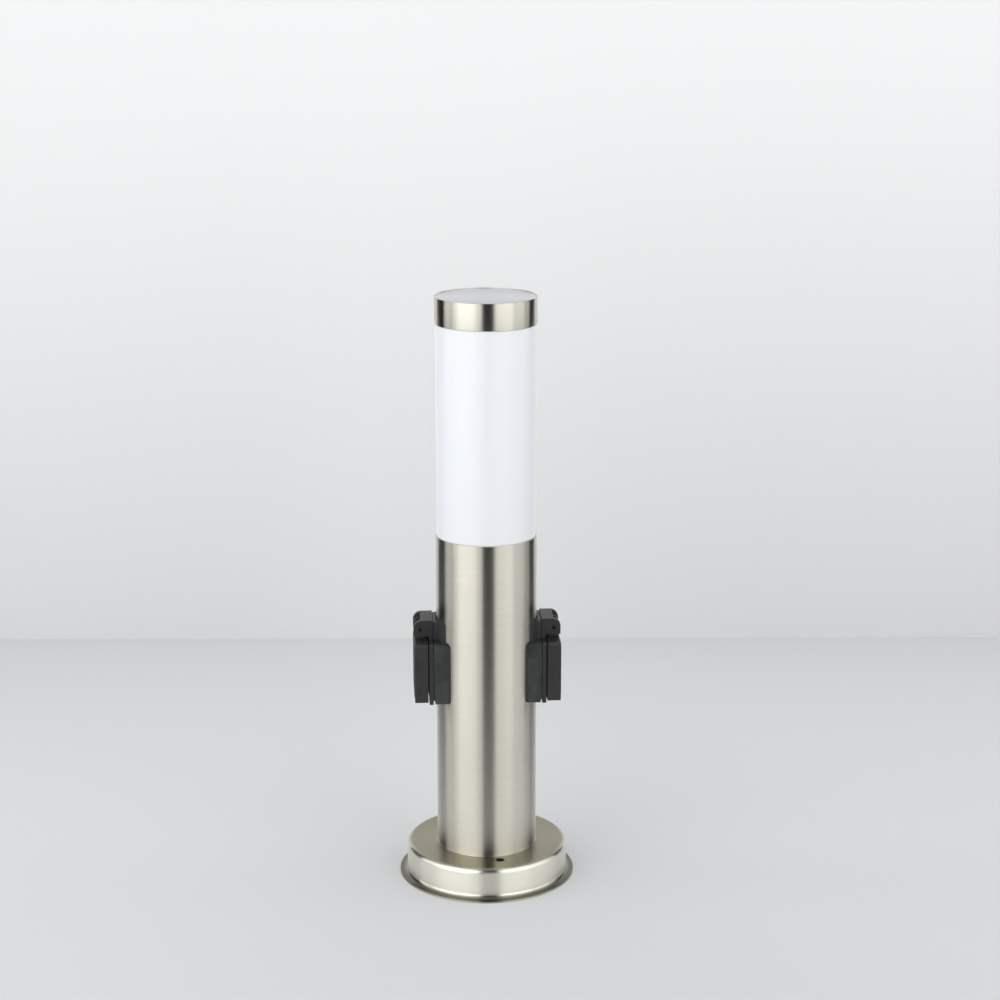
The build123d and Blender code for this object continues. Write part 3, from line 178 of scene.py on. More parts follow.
@dataclass(frozen=True)
class Finish:
    """Common ground of all finishes: a Principled surface with a little variation.

    Args:
        name: The material's name.
        colour: Base colour, linear.
        roughness: Middle roughness.
        metallic: Share of metal.
    """

    name: str
    colour: Colour
    roughness: float = 0.5
    metallic: float = 0.0

    def material(self) -> bpy.types.Material:
        """Build the material, or give back the one already built.

        Returns:
            The material.
        """
        label = self.name + "_finish"
        known = bpy.data.materials.get(label)
        if known:
            return known
        made = bpy.data.materials.new(label)
        made.use_nodes = True
        made.node_tree.nodes.clear()
        graph = Graph(made.node_tree)
        surface = graph.node("BsdfPrincipled")
        output = graph.node("OutputMaterial")
        graph.tree.links.new(surface.outputs[0], output.inputs["Surface"])
        graph.feed(surface.inputs["Base Color"], self.colour)
        surface.inputs["Roughness"].default_value = self.roughness
        surface.inputs["Metallic"].default_value = self.metallic
        self.dress(graph, surface)
        return made

    def dress(self, graph: Graph, surface: bpy.types.Node) -> None:
        """Add what varies over the surface.

        Args:
            graph: The material's graph.
            surface: Its Principled node.
        """

    def toned(self, share: float) -> Colour:
        """The base colour at a share of its brightness."""
        return tuple(min(1.0, part * share) for part in self.colour)

    def stray(self, graph: Graph, surface: bpy.types.Node, wander: Signal, spread: float) -> None:
        """Let the roughness stray about its middle, as a signal goes from 0 to 1."""
        gloss = self.roughness - spread / 2 + wander * spread
        graph.feed(surface.inputs["Roughness"], gloss)

    def place(self, graph: Graph, scale: tuple[float, float, float]) -> bpy.types.NodeSocket:
        """Object coordinates in metres, stretched by a scale on each axis.

        Args:
            graph: The material's graph.
            scale: Factor on each axis.

        Returns:
            The coordinates.
        """
        where = graph.node("TexCoord")
        stretch = graph.node("Mapping", None, Vector=where.outputs["Object"], Scale=scale)
        return stretch.outputs[0]

    def noise(self, graph: Graph, scale: tuple[float, float, float], detail: float = 2.0,
              rough: float = 0.5) -> Signal:
        """Noise from 0 to 1 with its own scale on each axis.

        Args:
            graph: The material's graph.
            scale: Changes in a metre on each axis.
            detail: How many finer layers it has.
            rough: Strength of each layer over the one before.

        Returns:
            The noise.
        """
        return graph.signal(
            "TexNoise", "Fac", None, Vector=self.place(graph, scale), Scale=1.0,
            Detail=detail, Roughness=rough,
        )

    def bump(self, graph: Graph, surface: bpy.types.Node, height: Signal, strength: float,
             distance: float) -> None:
        """Feed a height to the surface's normal."""
        relief = graph.node("Bump", None, Height=height, Strength=strength, Distance=distance)
        graph.tree.links.new(relief.outputs[0], surface.inputs["Normal"])


QUARTER_TURN = 0.25                     # of a whole turn, in the highlight's direction
FINE_CHANGES = 12.0                     # in a metre of fine line
COARSE_CHANGES = 30.0                   # in a metre of coarse line
HANDLING_MARKS = (9.0, 9.0, 14.0)       # in a metre on each axis
WAVE_LENGTH = 0.314                     # metres from wave to wave at a scale of one


class Lay(Enum):
    """Which way the brush lines run; each value is the share of fine detail on X, Y and Z."""

    ROUND = (0.0, 0.0, 1.0)
    STRAIGHT = (0.0, 1.0, 0.0)


@dataclass(frozen=True)
class BrushedSteel(Finish):
    """Stainless steel with brush lines.

    Args:
        stretch: Spread of the highlight across the brush lines.
        lay: Which way the lines run.
        fine_pitch: Spacing of the fine brush lines, in metres.
        coarse_pitch: Spacing of the coarse brush lines, in metres.
        darkest: Tone between the lines, as a share of the colour.
        lightest: Tone on the lines, as a share of the colour.
        tone_shares: What the fine lines, coarse lines and marks add to the tone.
        gloss_shares: What the fine lines, coarse lines and marks add to the roughness.
        relief_shares: What the fine lines and the coarse lines add to the relief.
        relief: Strength of the lines in the relief.
        depth: Depth of the lines, in metres.
    """

    stretch: float = 0.75
    lay: Lay = Lay.ROUND
    fine_pitch: float = 0.35 * MM
    coarse_pitch: float = 1.75 * MM
    darkest: float = 0.84
    lightest: float = 1.14
    tone_shares: tuple[float, float, float] = (0.35, 0.40, 0.25)
    gloss_shares: tuple[float, float, float] = (0.05, 0.04, 0.04)
    relief_shares: tuple[float, float] = (0.5, 0.5)
    relief: float = 0.10
    depth: float = 0.04 * MM

    def lines(self, graph: Graph, pitch: float, along: float) -> Signal:
        """Noise drawn out along the brush lines.

        Args:
            graph: The material's graph.
            pitch: Spacing of the lines, in metres.
            along: Changes in a metre of line.

        Returns:
            Noise from 0 to 1.
        """
        scale = tuple(share / pitch + (1.0 - share) * along for share in self.lay.value)
        return self.noise(graph, scale, detail=3.0, rough=0.65)

    def dress(self, graph: Graph, surface: bpy.types.Node) -> None:
        """Fine and coarse lines in tone, roughness and relief, over faint handling marks.

        Args:
            graph: The material's graph.
            surface: Its Principled node.
        """
        surface.inputs["Anisotropic"].default_value = self.stretch
        surface.inputs["Anisotropic Rotation"].default_value = QUARTER_TURN
        layers = (
            self.lines(graph, self.fine_pitch, FINE_CHANGES),
            self.lines(graph, self.coarse_pitch, COARSE_CHANGES),
            self.noise(graph, HANDLING_MARKS, detail=3.0),
        )
        tone = sum(layer * share for layer, share in zip(layers, self.tone_shares))
        colour = tone.blend(self.toned(self.darkest), self.toned(self.lightest))
        graph.feed(surface.inputs["Base Color"], self.shade(graph, colour))
        gloss = sum(layer * share for layer, share in zip(layers, self.gloss_shares))
        middle = self.roughness - sum(self.gloss_shares) / 2
        graph.feed(surface.inputs["Roughness"], middle + gloss)
        height = sum(layer * share for layer, share in zip(layers, self.relief_shares))
        self.bump(graph, surface, height, self.relief, self.depth)

    def shade(self, graph: Graph, colour: Signal) -> Signal:
        """Last change to the colour; plain brushed steel keeps it."""
        return colour


@dataclass(frozen=True)
class DrawnSteel(BrushedSteel):
    """Steel drawn into a dish, with painted shade on its upward faces and on its flange.

    Args:
        top_shade_tint: What the upward faces keep of the colour, as painted shade.
        flange_top: Height of the flange's top, in metres.
        flange_shade_tone: What the flange keeps of the colour, as painted shade.
    """

    # painted shade: the colour that upward faces keep
    top_shade_tint: Colour = (0.41, 0.39, 0.33)
    flange_top: float = 3.5 * MM
    # painted shade: the share of colour that the flange keeps
    flange_shade_tone: float = 0.5

    def shade(self, graph: Graph, colour: Signal) -> Signal:
        """Paint shade on what faces up, and on the flange.

        Args:
            graph: The material's graph.
            colour: The brushed colour.

        Returns:
            The colour with the painted shade.
        """
        where = graph.node("TexCoord")
        normal = graph.node("SeparateXYZ", None, Vector=where.outputs["Normal"])
        rise = Signal(graph, normal.outputs["Z"])
        # painted shade: the more a face points up, the darker its colour
        level = rise * rise * rise * rise
        spot = graph.node("SeparateXYZ", None, Vector=where.outputs["Object"])
        # painted shade: everything below the flange's top keeps only part of its colour
        flange = Signal(graph, spot.outputs["Z"]) < self.flange_top
        tint = level.blend(WHITE_LIGHT, self.top_shade_tint)
        tone = 1.0 - flange * (1.0 - self.flange_shade_tone)
        tinted = graph.signal("VectorMath", 0, {"operation": "MULTIPLY"}, i0=colour, i1=tint)
        return graph.signal("VectorMath", 0, {"operation": "SCALE"}, i0=tinted, Scale=tone)


@dataclass(frozen=True)
class GrainedPlastic(Finish):
    """Moulded plastic or rubber with a fine eroded grain.

    Args:
        grain: Grain size, in metres.
        grain_depth: Depth of the grain over its size.
        relief: Strength of the grain.
        mottle: How far the tone strays from patch to patch.
        patch: Size of the patches, in metres.
        upright: Patches along Z for each one along X or Y.
        contrast: How sharply the patches part from each other.
        grain_share: What the grain adds to the tone; the patches add the rest.
        spread: How far the roughness strays from patch to patch.
    """

    grain: float = 0.4 * MM
    grain_depth: float = 0.2
    relief: float = 0.25
    mottle: float = 0.08
    patch: float = 16.0 * MM
    upright: float = 0.6
    contrast: float = 3.2
    grain_share: float = 0.3
    spread: float = 0.12

    def dress(self, graph: Graph, surface: bpy.types.Node) -> None:
        """Fine grain in the relief, broad clouds in tone and gloss.

        Args:
            graph: The material's graph.
            surface: Its Principled node.
        """
        fine = 1.0 / self.grain
        grain = self.noise(graph, (fine, fine, fine), rough=0.6)
        rate = 1.0 / self.patch
        clouds = self.noise(graph, (rate, rate, rate * self.upright), detail=5.0, rough=0.7)
        patches = (clouds - 0.5) * self.contrast + 0.5
        tone = grain * self.grain_share + patches * (1.0 - self.grain_share)
        colour = tone.blend(self.toned(1.0 - self.mottle), self.toned(1.0 + self.mottle))
        graph.feed(surface.inputs["Base Color"], colour)
        self.stray(graph, surface, clouds, self.spread)
        self.bump(graph, surface, grain, self.relief, self.grain * self.grain_depth)


@dataclass(frozen=True)
class OpalPlastic(Finish):
    """Milky plastic that scatters light inside its wall.

    Args:
        scatter: Share of light scattered under the surface.
        depth: How far the scattered light goes, in metres.
        darkest: Tone of the clouds, as a share of the colour.
        clouds: Clouds in a metre on each axis.
        spread: How far the roughness strays.
    """

    scatter: float = 0.3
    depth: float = 6.0 * MM
    darkest: float = 0.985
    clouds: tuple[float, float, float] = (25.0, 25.0, 12.0)
    spread: float = 0.04

    def dress(self, graph: Graph, surface: bpy.types.Node) -> None:
        """Faint clouding and a soft depth.

        Args:
            graph: The material's graph.
            surface: Its Principled node.
        """
        surface.inputs["Subsurface Weight"].default_value = self.scatter
        surface.inputs["Subsurface Radius"].default_value = (self.depth,) * 3
        surface.inputs["Subsurface Scale"].default_value = 1.0
        clouds = self.noise(graph, self.clouds)
        colour = clouds.blend(self.toned(self.darkest), self.colour)
        graph.feed(surface.inputs["Base Color"], colour)
        self.stray(graph, surface, clouds, self.spread)


@dataclass(frozen=True)
class StripedSleeve(Finish):
    """Wire insulation in two colours.

    Args:
        stripe: The second colour.
        pitch: Spacing of the stripes, in metres.
        slant: How much the stripes turn along an upright run.
        threshold: Height of the wave at which the second colour starts.
        clouds: Clouds in a metre.
        spread: How far the roughness strays.
    """

    stripe: Colour = (0.75, 0.62, 0.02)
    pitch: float = 2.4 * MM
    slant: float = 0.02
    threshold: float = 0.55
    clouds: float = 90.0
    spread: float = 0.1

    def dress(self, graph: Graph, surface: bpy.types.Node) -> None:
        """Lengthwise stripes on runs that mostly stand upright.

        Args:
            graph: The material's graph.
            surface: Its Principled node.
        """
        where = self.place(graph, (1.0, 1.0, self.slant))
        waves = graph.signal("TexWave", "Fac", {"bands_direction": "DIAGONAL"}, Vector=where,
                             Scale=WAVE_LENGTH / self.pitch, Distortion=0.0)
        clouds = self.noise(graph, (self.clouds,) * 3)
        colour = (waves > self.threshold).blend(self.colour, self.stripe)
        graph.feed(surface.inputs["Base Color"], colour)
        self.stray(graph, surface, clouds, self.spread)


@dataclass(frozen=True)
class ChipBoard(Finish):
    """White circuit board whose raised chips are amber.

    Args:
        chip: Colour of the chips.
        level: Height of the board's face, in metres.
        clouds: Clouds in a metre.
        spread: How far the roughness strays.
    """

    chip: Colour = (0.80, 0.58, 0.08)
    level: float = 330.45 * MM
    clouds: float = 200.0
    spread: float = 0.16

    def dress(self, graph: Graph, surface: bpy.types.Node) -> None:
        """Amber above the board's face, with a faint mottle in the gloss.

        Args:
            graph: The material's graph.
            surface: Its Principled node.
        """
        where = graph.node("TexCoord")
        parts = graph.node("SeparateXYZ", None, Vector=where.outputs["Object"])
        height = Signal(graph, parts.outputs["Z"])
        clouds = self.noise(graph, (self.clouds,) * 3)
        colour = (height > self.level).blend(self.colour, self.chip)
        graph.feed(surface.inputs["Base Color"], colour)
        self.stray(graph, surface, clouds, self.spread)


@dataclass(frozen=True)
class PlainMetal(Finish):
    """Plated or bare metal of the small inner parts.

    Args:
        darkest: Tone of the spots, as a share of the colour.
        spots: Spots in a metre.
        spread: How far the roughness strays.
    """

    darkest: float = 0.75
    spots: float = 350.0
    spread: float = 0.2

    def dress(self, graph: Graph, surface: bpy.types.Node) -> None:
        """Mottled tone and gloss.

        Args:
            graph: The material's graph.
            surface: Its Principled node.
        """
        spots = self.noise(graph, (self.spots,) * 3, detail=3.0, rough=0.6)
        colour = spots.blend(self.toned(self.darkest), self.colour)
        graph.feed(surface.inputs["Base Color"], colour)
        self.stray(graph, surface, spots, self.spread)


# Each finish: name, colour, roughness and, for metals, the share of metal.
STEEL = BrushedSteel("brushed_stainless", (0.69, 0.667, 0.588), 0.345, 1.0, stretch=1.0)
# steel of the foot, with painted shade on its upward faces and on its flange
FOOT_STEEL = DrawnSteel("drawn_stainless", (0.90, 0.87, 0.765), 0.29, 1.0, stretch=0.96)
CAP_STEEL = BrushedSteel("cap_stainless", (0.70, 0.71, 0.74), 0.34, 1.0, stretch=0.3,
                         lay=Lay.STRAIGHT)
LID_PLASTIC = GrainedPlastic("black_plastic", (0.0225, 0.022, 0.0215), 0.46, mottle=0.22)
SADDLE_PLASTIC = GrainedPlastic("saddle_plastic", (0.029, 0.032, 0.032), 0.42,
                                relief=0.35, mottle=0.60, patch=12.0 * MM)
RUBBER = GrainedPlastic("black_rubber", (0.020, 0.020, 0.020), 0.7, relief=0.5)
OPAL = OpalPlastic("opal_plastic", (0.69, 0.715, 0.74), 0.30)
LAMP_OPAL = OpalPlastic("lamp_opal", (0.84, 0.84, 0.82), 0.35)
# painted shade: the base plate is near black so the ground-screw holes show dark
PLATE_SHADE_STEEL = PlainMetal("blackened_plate", (0.05, 0.05, 0.05), 0.6, 1.0)
ZINC = PlainMetal("zinc_steel", (0.58, 0.58, 0.57), 0.4, 1.0)
BLACK_PIN = PlainMetal("blackened_steel", (0.030, 0.030, 0.032), 0.5, 1.0)
SPRING_STEEL = PlainMetal("spring_steel", (0.32, 0.31, 0.30), 0.35, 1.0)
BRASS = PlainMetal("brass", (0.75, 0.55, 0.24), 0.3, 1.0)
NICKEL = PlainMetal("nickel", (0.66, 0.63, 0.57), 0.3, 1.0)
PORCELAIN = GrainedPlastic("porcelain", (0.85, 0.84, 0.79), 0.16, relief=0.02,
                           grain=2.0 * MM)
NYLON = GrainedPlastic("nylon", (0.76, 0.73, 0.65), 0.45)
WHITE = GrainedPlastic("white_plastic", (0.80, 0.80, 0.79), 0.35, relief=0.1)
BOARD = ChipBoard("chip_board", (0.80, 0.81, 0.80), 0.35)
BLACK_GLASS = GrainedPlastic("black_glass", (0.012, 0.012, 0.016), 0.12, relief=0.02)
SILICONE = GrainedPlastic("silicone", (0.72, 0.72, 0.69), 0.5, relief=0.05)
BROWN_WIRE = GrainedPlastic("brown_wire", (0.16, 0.06, 0.025), 0.4, relief=0.05)
BLUE_WIRE = GrainedPlastic("blue_wire", (0.03, 0.12, 0.45), 0.4, relief=0.05)
EARTH_WIRE = StripedSleeve("earth_wire", (0.05, 0.27, 0.05), 0.4)


# ---- mesh building -------------------------------------------------------------------------


@dataclass
class Loop:
    """Closed path for a section to run along.

    Args:
        points: Places on the path, in metres.
        outward: Unit direction away from the path's middle at each place.
        up: Unit direction square to the path's plane.
    """

    points: list[Vector]
    outward: list[Vector]
    up: Vector

    @classmethod
    def circle(cls, radius: float, centre: Vector, steps: int = 192) -> "Loop":
        """Level circle.

        Args:
            radius: Its radius.
            centre: Its middle.
            steps: Points round it.

        Returns:
            The loop.
        """
        turns = [math.tau * step / steps for step in range(steps)]
        outward = [Vector((math.cos(turn), math.sin(turn), 0.0)) for turn in turns]
        return cls([centre + radius * way for way in outward], outward, Vector((0, 0, 1)))

    @classmethod
    def rounded_square(cls, half: tuple[float, float], corner: float, centre: Vector,
                       up: Vector, steps: int = 12) -> "Loop":
        """Upright rounded rectangle that faces along X.

        Args:
            half: Half its width on Y and half its height on Z.
            corner: Corner radius.
            centre: Its middle.
            up: The way it faces.
            steps: Points in each corner.

        Returns:
            The loop.
        """
        points, outward = [], []
        for quarter in range(4):
            start = quarter * math.pi / 2
            sign_y = 1 if quarter in (0, 3) else -1
            sign_z = 1 if quarter in (0, 1) else -1
            middle = Vector((0, sign_y * (half[0] - corner), sign_z * (half[1] - corner)))
            for step in range(steps + 1):
                turn = start + math.pi / 2 * step / steps
                way = Vector((0.0, math.cos(turn), math.sin(turn)))
                points.append(centre + middle + corner * way)
                outward.append(way)
        return cls(points, outward, up)


class PieceMesh:
    """Mesh of one detail piece, filled shape by shape."""

    def __init__(self) -> None:
        self.mesh = bmesh.new()

    def bead(self, loop: Loop, section: Section) -> None:
        """Run a closed section along a loop.

        Args:
            loop: The path.
            section: Corners as distances outward and up from the path.
        """
        rings = []
        for point, way in zip(loop.points, loop.outward):
            rings.append([self.mesh.verts.new(point + out * way + rise * loop.up)
                          for out, rise in section])
        for here, there in zip(rings, rings[1:] + rings[:1]):
            self.join(here, there)

    def pad(self, loop: Loop, steps: Section) -> None:
        """Raise a closed pad over a loop.

        Args:
            loop: The pad's outline.
            steps: Rings of its side as distances outward and up, from the bottom.
        """
        rings = []
        for out, rise in steps:
            rings.append([self.mesh.verts.new(point + out * way + rise * loop.up)
                          for point, way in zip(loop.points, loop.outward)])
        for low, high in zip(rings, rings[1:]):
            self.join(low, high)
        self.mesh.faces.new(rings[-1])
        self.mesh.faces.new(list(reversed(rings[0])))

    def join(self, here: list[bmesh.types.BMVert], there: list[bmesh.types.BMVert]) -> None:
        """Put faces between two rings of the same length.

        Args:
            here: Corners of the first ring.
            there: Corners of the second ring.
        """
        for first in range(len(here)):
            second = (first + 1) % len(here)
            self.mesh.faces.new((here[first], there[first], there[second], here[second]))

    def piece(self, name: str, finish: Finish, body: str) -> bpy.types.Object:
        """Turn the mesh into a piece that rides on a body.

        Args:
            name: The piece's name.
            finish: Its finish.
            body: The body it moves with.

        Returns:
            The new piece.
        """
        bmesh.ops.recalc_face_normals(self.mesh, faces=self.mesh.faces)
        data = bpy.data.meshes.new(name)
        self.mesh.to_mesh(data)
        self.mesh.free()
        data.materials.append(finish.material())
        made = bpy.data.objects.new(name, data)
        bpy.context.scene.collection.objects.link(made)
        data.shade_smooth()
        data.set_sharp_from_angle(angle=math.radians(SMOOTH_ANGLE))
        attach(made, body)
        LOG.info("%s rides on %s in %s", name, body, finish.name)
        return made


def round_section(radius: float, steps: int = 12) -> Section:
    """Corners of a round section."""
    turns = [math.tau * step / steps for step in range(steps)]
    return [(radius * math.cos(turn), radius * math.sin(turn)) for turn in turns]


def band_section(width: float, height: float, edge: float, steps: int = 4) -> Section:
    """Corners of an upright band whose four edges are rounded.

    Args:
        width: Its thickness, from zero inward.
        height: Its height, from zero up.
        edge: Radius of its edges.
        steps: Faces round each edge.

    Returns:
        The corners as distances outward and up.
    """
    corners = []
    middles = ((-edge, height - edge), (edge - width, height - edge), (edge - width, edge),
               (-edge, edge))
    for quarter, (out, rise) in enumerate(middles):
        for step in range(steps + 1):
            turn = math.pi / 2 * (quarter + step / steps)
            corners.append((out + edge * math.cos(turn), rise + edge * math.sin(turn)))
    return corners


# ---- sub-assemblies ------------------------------------------------------------------------

BEAD_SINK = 0.4              # how far off its edge a bead's middle is, over its radius


@dataclass
class SubAssembly:
    """Common ground of the sub-assemblies."""

    def nodes(self) -> dict[Finish, list[str]]:
        """CAD nodes under each finish."""
        return {}

    def details(self) -> None:
        """Add the pieces that the CAD nodes leave out."""

    def build(self) -> None:
        """Dress the CAD nodes, then add the detail pieces."""
        for finish, names in self.nodes().items():
            for name in names:
                self.dress(name, finish)
        self.details()

    def dress(self, name: str, finish: Finish) -> None:
        """Give a CAD node a finish in its material slots.

        Args:
            name: The node's name.
            finish: Its finish.
        """
        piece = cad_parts[name]
        if not piece.material_slots:
            piece.data.materials.append(None)
        for slot in piece.material_slots:
            slot.material = finish.material()
        LOG.info("%s in %s", name, finish.name)


@dataclass
class Foot(SubAssembly):
    """Drawn dish, base plate and cable grommet.

    Args:
        seam: Radius of the bead between the dish and the post.
        hole_circle: Radius of the ground-screw circle.
        hole_turns: Where the ground-screw holes lie round the post, in degrees.
        sleeve_radius: Outer radius of the dark sleeve in each hole, which is painted shade.
        sleeve_wall: Thickness of that sleeve.
        sleeve_height: Its height, from the dish's top down.
        sleeve_edge: Radius of its edges.
        sleeve_steps: Points round it.
    """

    seam: float = 0.35 * MM
    hole_circle: float = 45.0 * MM
    hole_turns: tuple[float, float] = (-80.0, 100.0)
    sleeve_radius: float = 3.45 * MM
    sleeve_wall: float = 0.3 * MM
    sleeve_height: float = 5.0 * MM
    sleeve_edge: float = 0.1 * MM
    sleeve_steps: int = 48

    def nodes(self) -> dict[Finish, list[str]]:
        """CAD nodes under each finish."""
        # the base plate's near black stands for painted shade down the ground-screw holes
        return {FOOT_STEEL: ["base_cover"], PLATE_SHADE_STEEL: ["base_plate"],
                RUBBER: ["cable_grommet"]}

    def details(self) -> None:
        """Weld bead round the post's foot, and a dark sleeve in each ground-screw hole as painted
        shade down the hole.
        """
        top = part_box("base_cover")[1][2]
        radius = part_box("post_tube")[1][0]
        bead = PieceMesh()
        bead.bead(Loop.circle(radius + self.seam * BEAD_SINK, Vector((0, 0, top))),
                  round_section(self.seam))
        bead.piece("foot_seam", STEEL, "post")
        # painted shade: a thin dark rubber sleeve lines each ground-screw hole
        sleeves = PieceMesh()
        section = band_section(self.sleeve_wall, self.sleeve_height, self.sleeve_edge)
        for degrees in self.hole_turns:
            angle = math.radians(degrees)
            centre = Vector((math.cos(angle), math.sin(angle), 0.0)) * self.hole_circle
            centre.z = top - self.sleeve_height
            sleeves.bead(Loop.circle(self.sleeve_radius, centre, self.sleeve_steps), section)
        sleeves.piece("ground_hole_sleeves", RUBBER, "post")


@dataclass
class Post(SubAssembly):
    """Tube with the terminal block and the lamp holder inside it.

    Args:
        lip: Radius of the bead along the tube's top edge.
    """

    lip: float = 0.22 * MM

    def nodes(self) -> dict[Finish, list[str]]:
        """CAD nodes under each finish."""
        return {
            STEEL: ["post_tube"],
            ZINC: ["terminal_bracket", "bracket_screws", "terminal_screws", "holder_plate",
                   "lamp_holder_screws", "earth_screw"],
            NYLON: ["terminal_block"],
            BRASS: ["terminal_contacts", "lamp_holder_shell", "lamp_holder_contact"],
            NICKEL: ["earth_lug"],
            PORCELAIN: ["lamp_holder"],
            BROWN_WIRE: ["wires_live"],
            BLUE_WIRE: ["wires_neutral"],
            EARTH_WIRE: ["wires_earth"],
        }

    def details(self) -> None:
        """Polished bead along the cut top edge."""
        _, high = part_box("post_tube")
        bead = PieceMesh()
        place = Vector((0, 0, high[2] - self.lip))
        bead.bead(Loop.circle(high[0] - self.lip * BEAD_SINK, place), round_section(self.lip))
        bead.piece("tube_lip", FOOT_STEEL, "post")


@dataclass
class Head(SubAssembly):
    """Opal tube and steel cap.

    Args:
        band: Thickness of the cap's side.
        edge: Radius of the edges of the side and the top.
        bevel_share: Where the middle of the top's broken edge lies, over that radius.
        step: From the side's edge down to the top.
        top_depth: Thickness of the top.
        steps: Points round the cap.
    """

    band: float = 0.8 * MM
    edge: float = 0.3 * MM
    bevel_share: float = 0.3
    step: float = 0.3 * MM
    top_depth: float = 1.2 * MM
    steps: int = 256

    def nodes(self) -> dict[Finish, list[str]]:
        """CAD nodes under each finish."""
        return {OPAL: ["diffuser"], STEEL: ["cap_ring"], CAP_STEEL: ["cap_disc"],
                RUBBER: ["seat_seal"], SILICONE: ["cap_seal"]}

    def details(self) -> None:
        """Side and top of the cap, with their edges broken."""
        low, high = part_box("cap_ring")
        side = PieceMesh()
        side.bead(Loop.circle(high[0], Vector((0, 0, low[2])), self.steps),
                  band_section(self.band, high[2] - low[2], self.edge))
        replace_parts(side.piece("cap_side", STEEL, "head"), "cap_ring")
        top = PieceMesh()
        place = Vector((0, 0, high[2] - self.step))
        bevel = self.bevel_share * self.edge
        top.pad(Loop.circle(high[0] - self.band, place, self.steps),
                [(0.0, -self.top_depth), (0.0, -self.edge), (-bevel, -bevel),
                 (-self.edge, 0.0)])
        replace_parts(top.piece("cap_top", CAP_STEEL, "head"), "cap_disc")


@dataclass
class Lamp(SubAssembly):
    """Screw-in lamp."""

    def nodes(self) -> dict[Finish, list[str]]:
        """CAD nodes under each finish."""
        return {NICKEL: ["bulb_screw_cap"], BLACK_GLASS: ["bulb_insulator"],
                BRASS: ["bulb_tip_contact"], WHITE: ["bulb_collar"], BOARD: ["bulb_led_board"],
                LAMP_OPAL: ["bulb_envelope"]}


class Side(Enum):
    """Side of the post that an outlet is on; each value is its direction on X."""

    RIGHT = 1
    LEFT = -1


@dataclass
class Outlet(SubAssembly):
    """Socket with its saddle and sprung lid.

    Args:
        side: Which side of the post it is on.
        lid_height: Height of the lid's flat face, without its arm.
        border_inset: From the lid's edge to its raised border.
        border_half: Half width of the border.
        border_rise: Height of the border.
        border_corner: Radius of the border's corners.
        border_shoulder: Where its side starts to slope in, over its height.
        border_top: Width of its flat top, over its own width.
        rib_half: Half width and half height of a grip rib.
        rib_heights: Grip ribs above the lid's lower edge.
        rib_rise: Height of a grip rib.
        rib_slope: Where its side starts to slope, over its height, and how far in it goes,
            over its half height.
    """

    side: Side = Side.RIGHT
    lid_height: float = 46.15 * MM
    border_inset: float = 3.4 * MM
    border_half: float = 0.7 * MM
    border_rise: float = 0.35 * MM
    border_corner: float = 3.0 * MM
    border_shoulder: float = 0.3
    border_top: float = 0.5
    rib_half: tuple[float, float] = (8.0 * MM, 0.4 * MM)
    rib_heights: tuple[float, float, float] = (6.2 * MM, 7.8 * MM, 9.4 * MM)
    rib_rise: float = 0.4 * MM
    rib_slope: float = 0.4

    def named(self, *stems: str) -> list[str]:
        """Names of this side's nodes."""
        return [f"{self.side.name.lower()}_{stem}" for stem in stems]

    def nodes(self) -> dict[Finish, list[str]]:
        """CAD nodes under each finish."""
        return {
            SADDLE_PLASTIC: self.named("saddle"),
            LID_PLASTIC: self.named("socket_frame", "socket_insert", "lid"),
            RUBBER: self.named("saddle_gasket", "frame_gasket", "lid_seal"),
            ZINC: self.named("backing_plate", "frame_screws"),
            BLACK_PIN: self.named("hinge_pin"),
            SPRING_STEEL: self.named("lid_spring"),
            BRASS: self.named("socket_contacts"),
            NICKEL: self.named("earth_clips"),
        }

    def details(self) -> None:
        """Raised border and grip ribs on the lid's face."""
        lid, = self.named("lid")
        low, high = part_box(lid)
        face = max(abs(low[0]), abs(high[0])) * self.side.value
        up = Vector((self.side.value, 0, 0))
        middle = Vector((face, 0.0, low[2] + self.lid_height / 2))
        half = (high[1] - self.border_inset, self.lid_height / 2 - self.border_inset)
        relief = PieceMesh()
        relief.bead(Loop.rounded_square(half, self.border_corner, middle, up),
                    self.border_section())
        for rise in self.rib_heights:
            centre = Vector((face, 0.0, low[2] + rise))
            loop = Loop.rounded_square(self.rib_half, self.rib_half[1], centre, up, steps=6)
            relief.pad(loop, self.rib_section())
        relief.piece(f"{lid}_relief", LID_PLASTIC, lid)

    def border_section(self) -> Section:
        """Low trapezium whose foot is sunk in the lid.

        Returns:
            Its corners as distances outward and up.
        """
        half, top, rise = self.border_half, self.border_half * self.border_top, self.border_rise
        shoulder = rise * self.border_shoulder
        return [(half, -rise), (half, shoulder), (top, rise), (-top, rise), (-half, shoulder),
                (-half, -rise)]

    def rib_section(self) -> Section:
        """Side of a rib with a sloping shoulder, its foot sunk in the lid."""
        slope, rise = self.rib_half[1] * self.rib_slope, self.rib_rise
        return [(0.0, -rise), (0.0, rise * self.rib_slope), (-slope, rise)]


# ---- studio --------------------------------------------------------------------------------


@dataclass(frozen=True)
class SoftBox:
    """Upright light that spans two azimuths on a circle round the post.

    Args:
        name: The light's name.
        azimuths: Degrees of its two ends, seen from the post; positive is to the right.
        power: In watts.
        radius: Distance of both ends from the post's axis, in metres.
        height: Its height, in metres.
        middle_height: Height of its middle above the floor.
    """

    name: str
    azimuths: tuple[float, float]
    power: float
    radius: float = 1.3
    height: float = 1.4
    middle_height: float = 0.70


SOFT_BOXES = (
    SoftBox("left_box", (-8.5, -80.0), 11.8),
    SoftBox("left_box_heart", (-22.0, -66.0), 2.6, radius=1.2),
    SoftBox("left_box_edge", (-82.0, -104.0), 2.8),
    SoftBox("right_box", (17.5, 96.0), 10.0),
    SoftBox("right_box_heart", (22.0, 62.0), 2.0, radius=1.2),
    SoftBox("right_box_edge", (97.5, 111.0), 1.2),
)


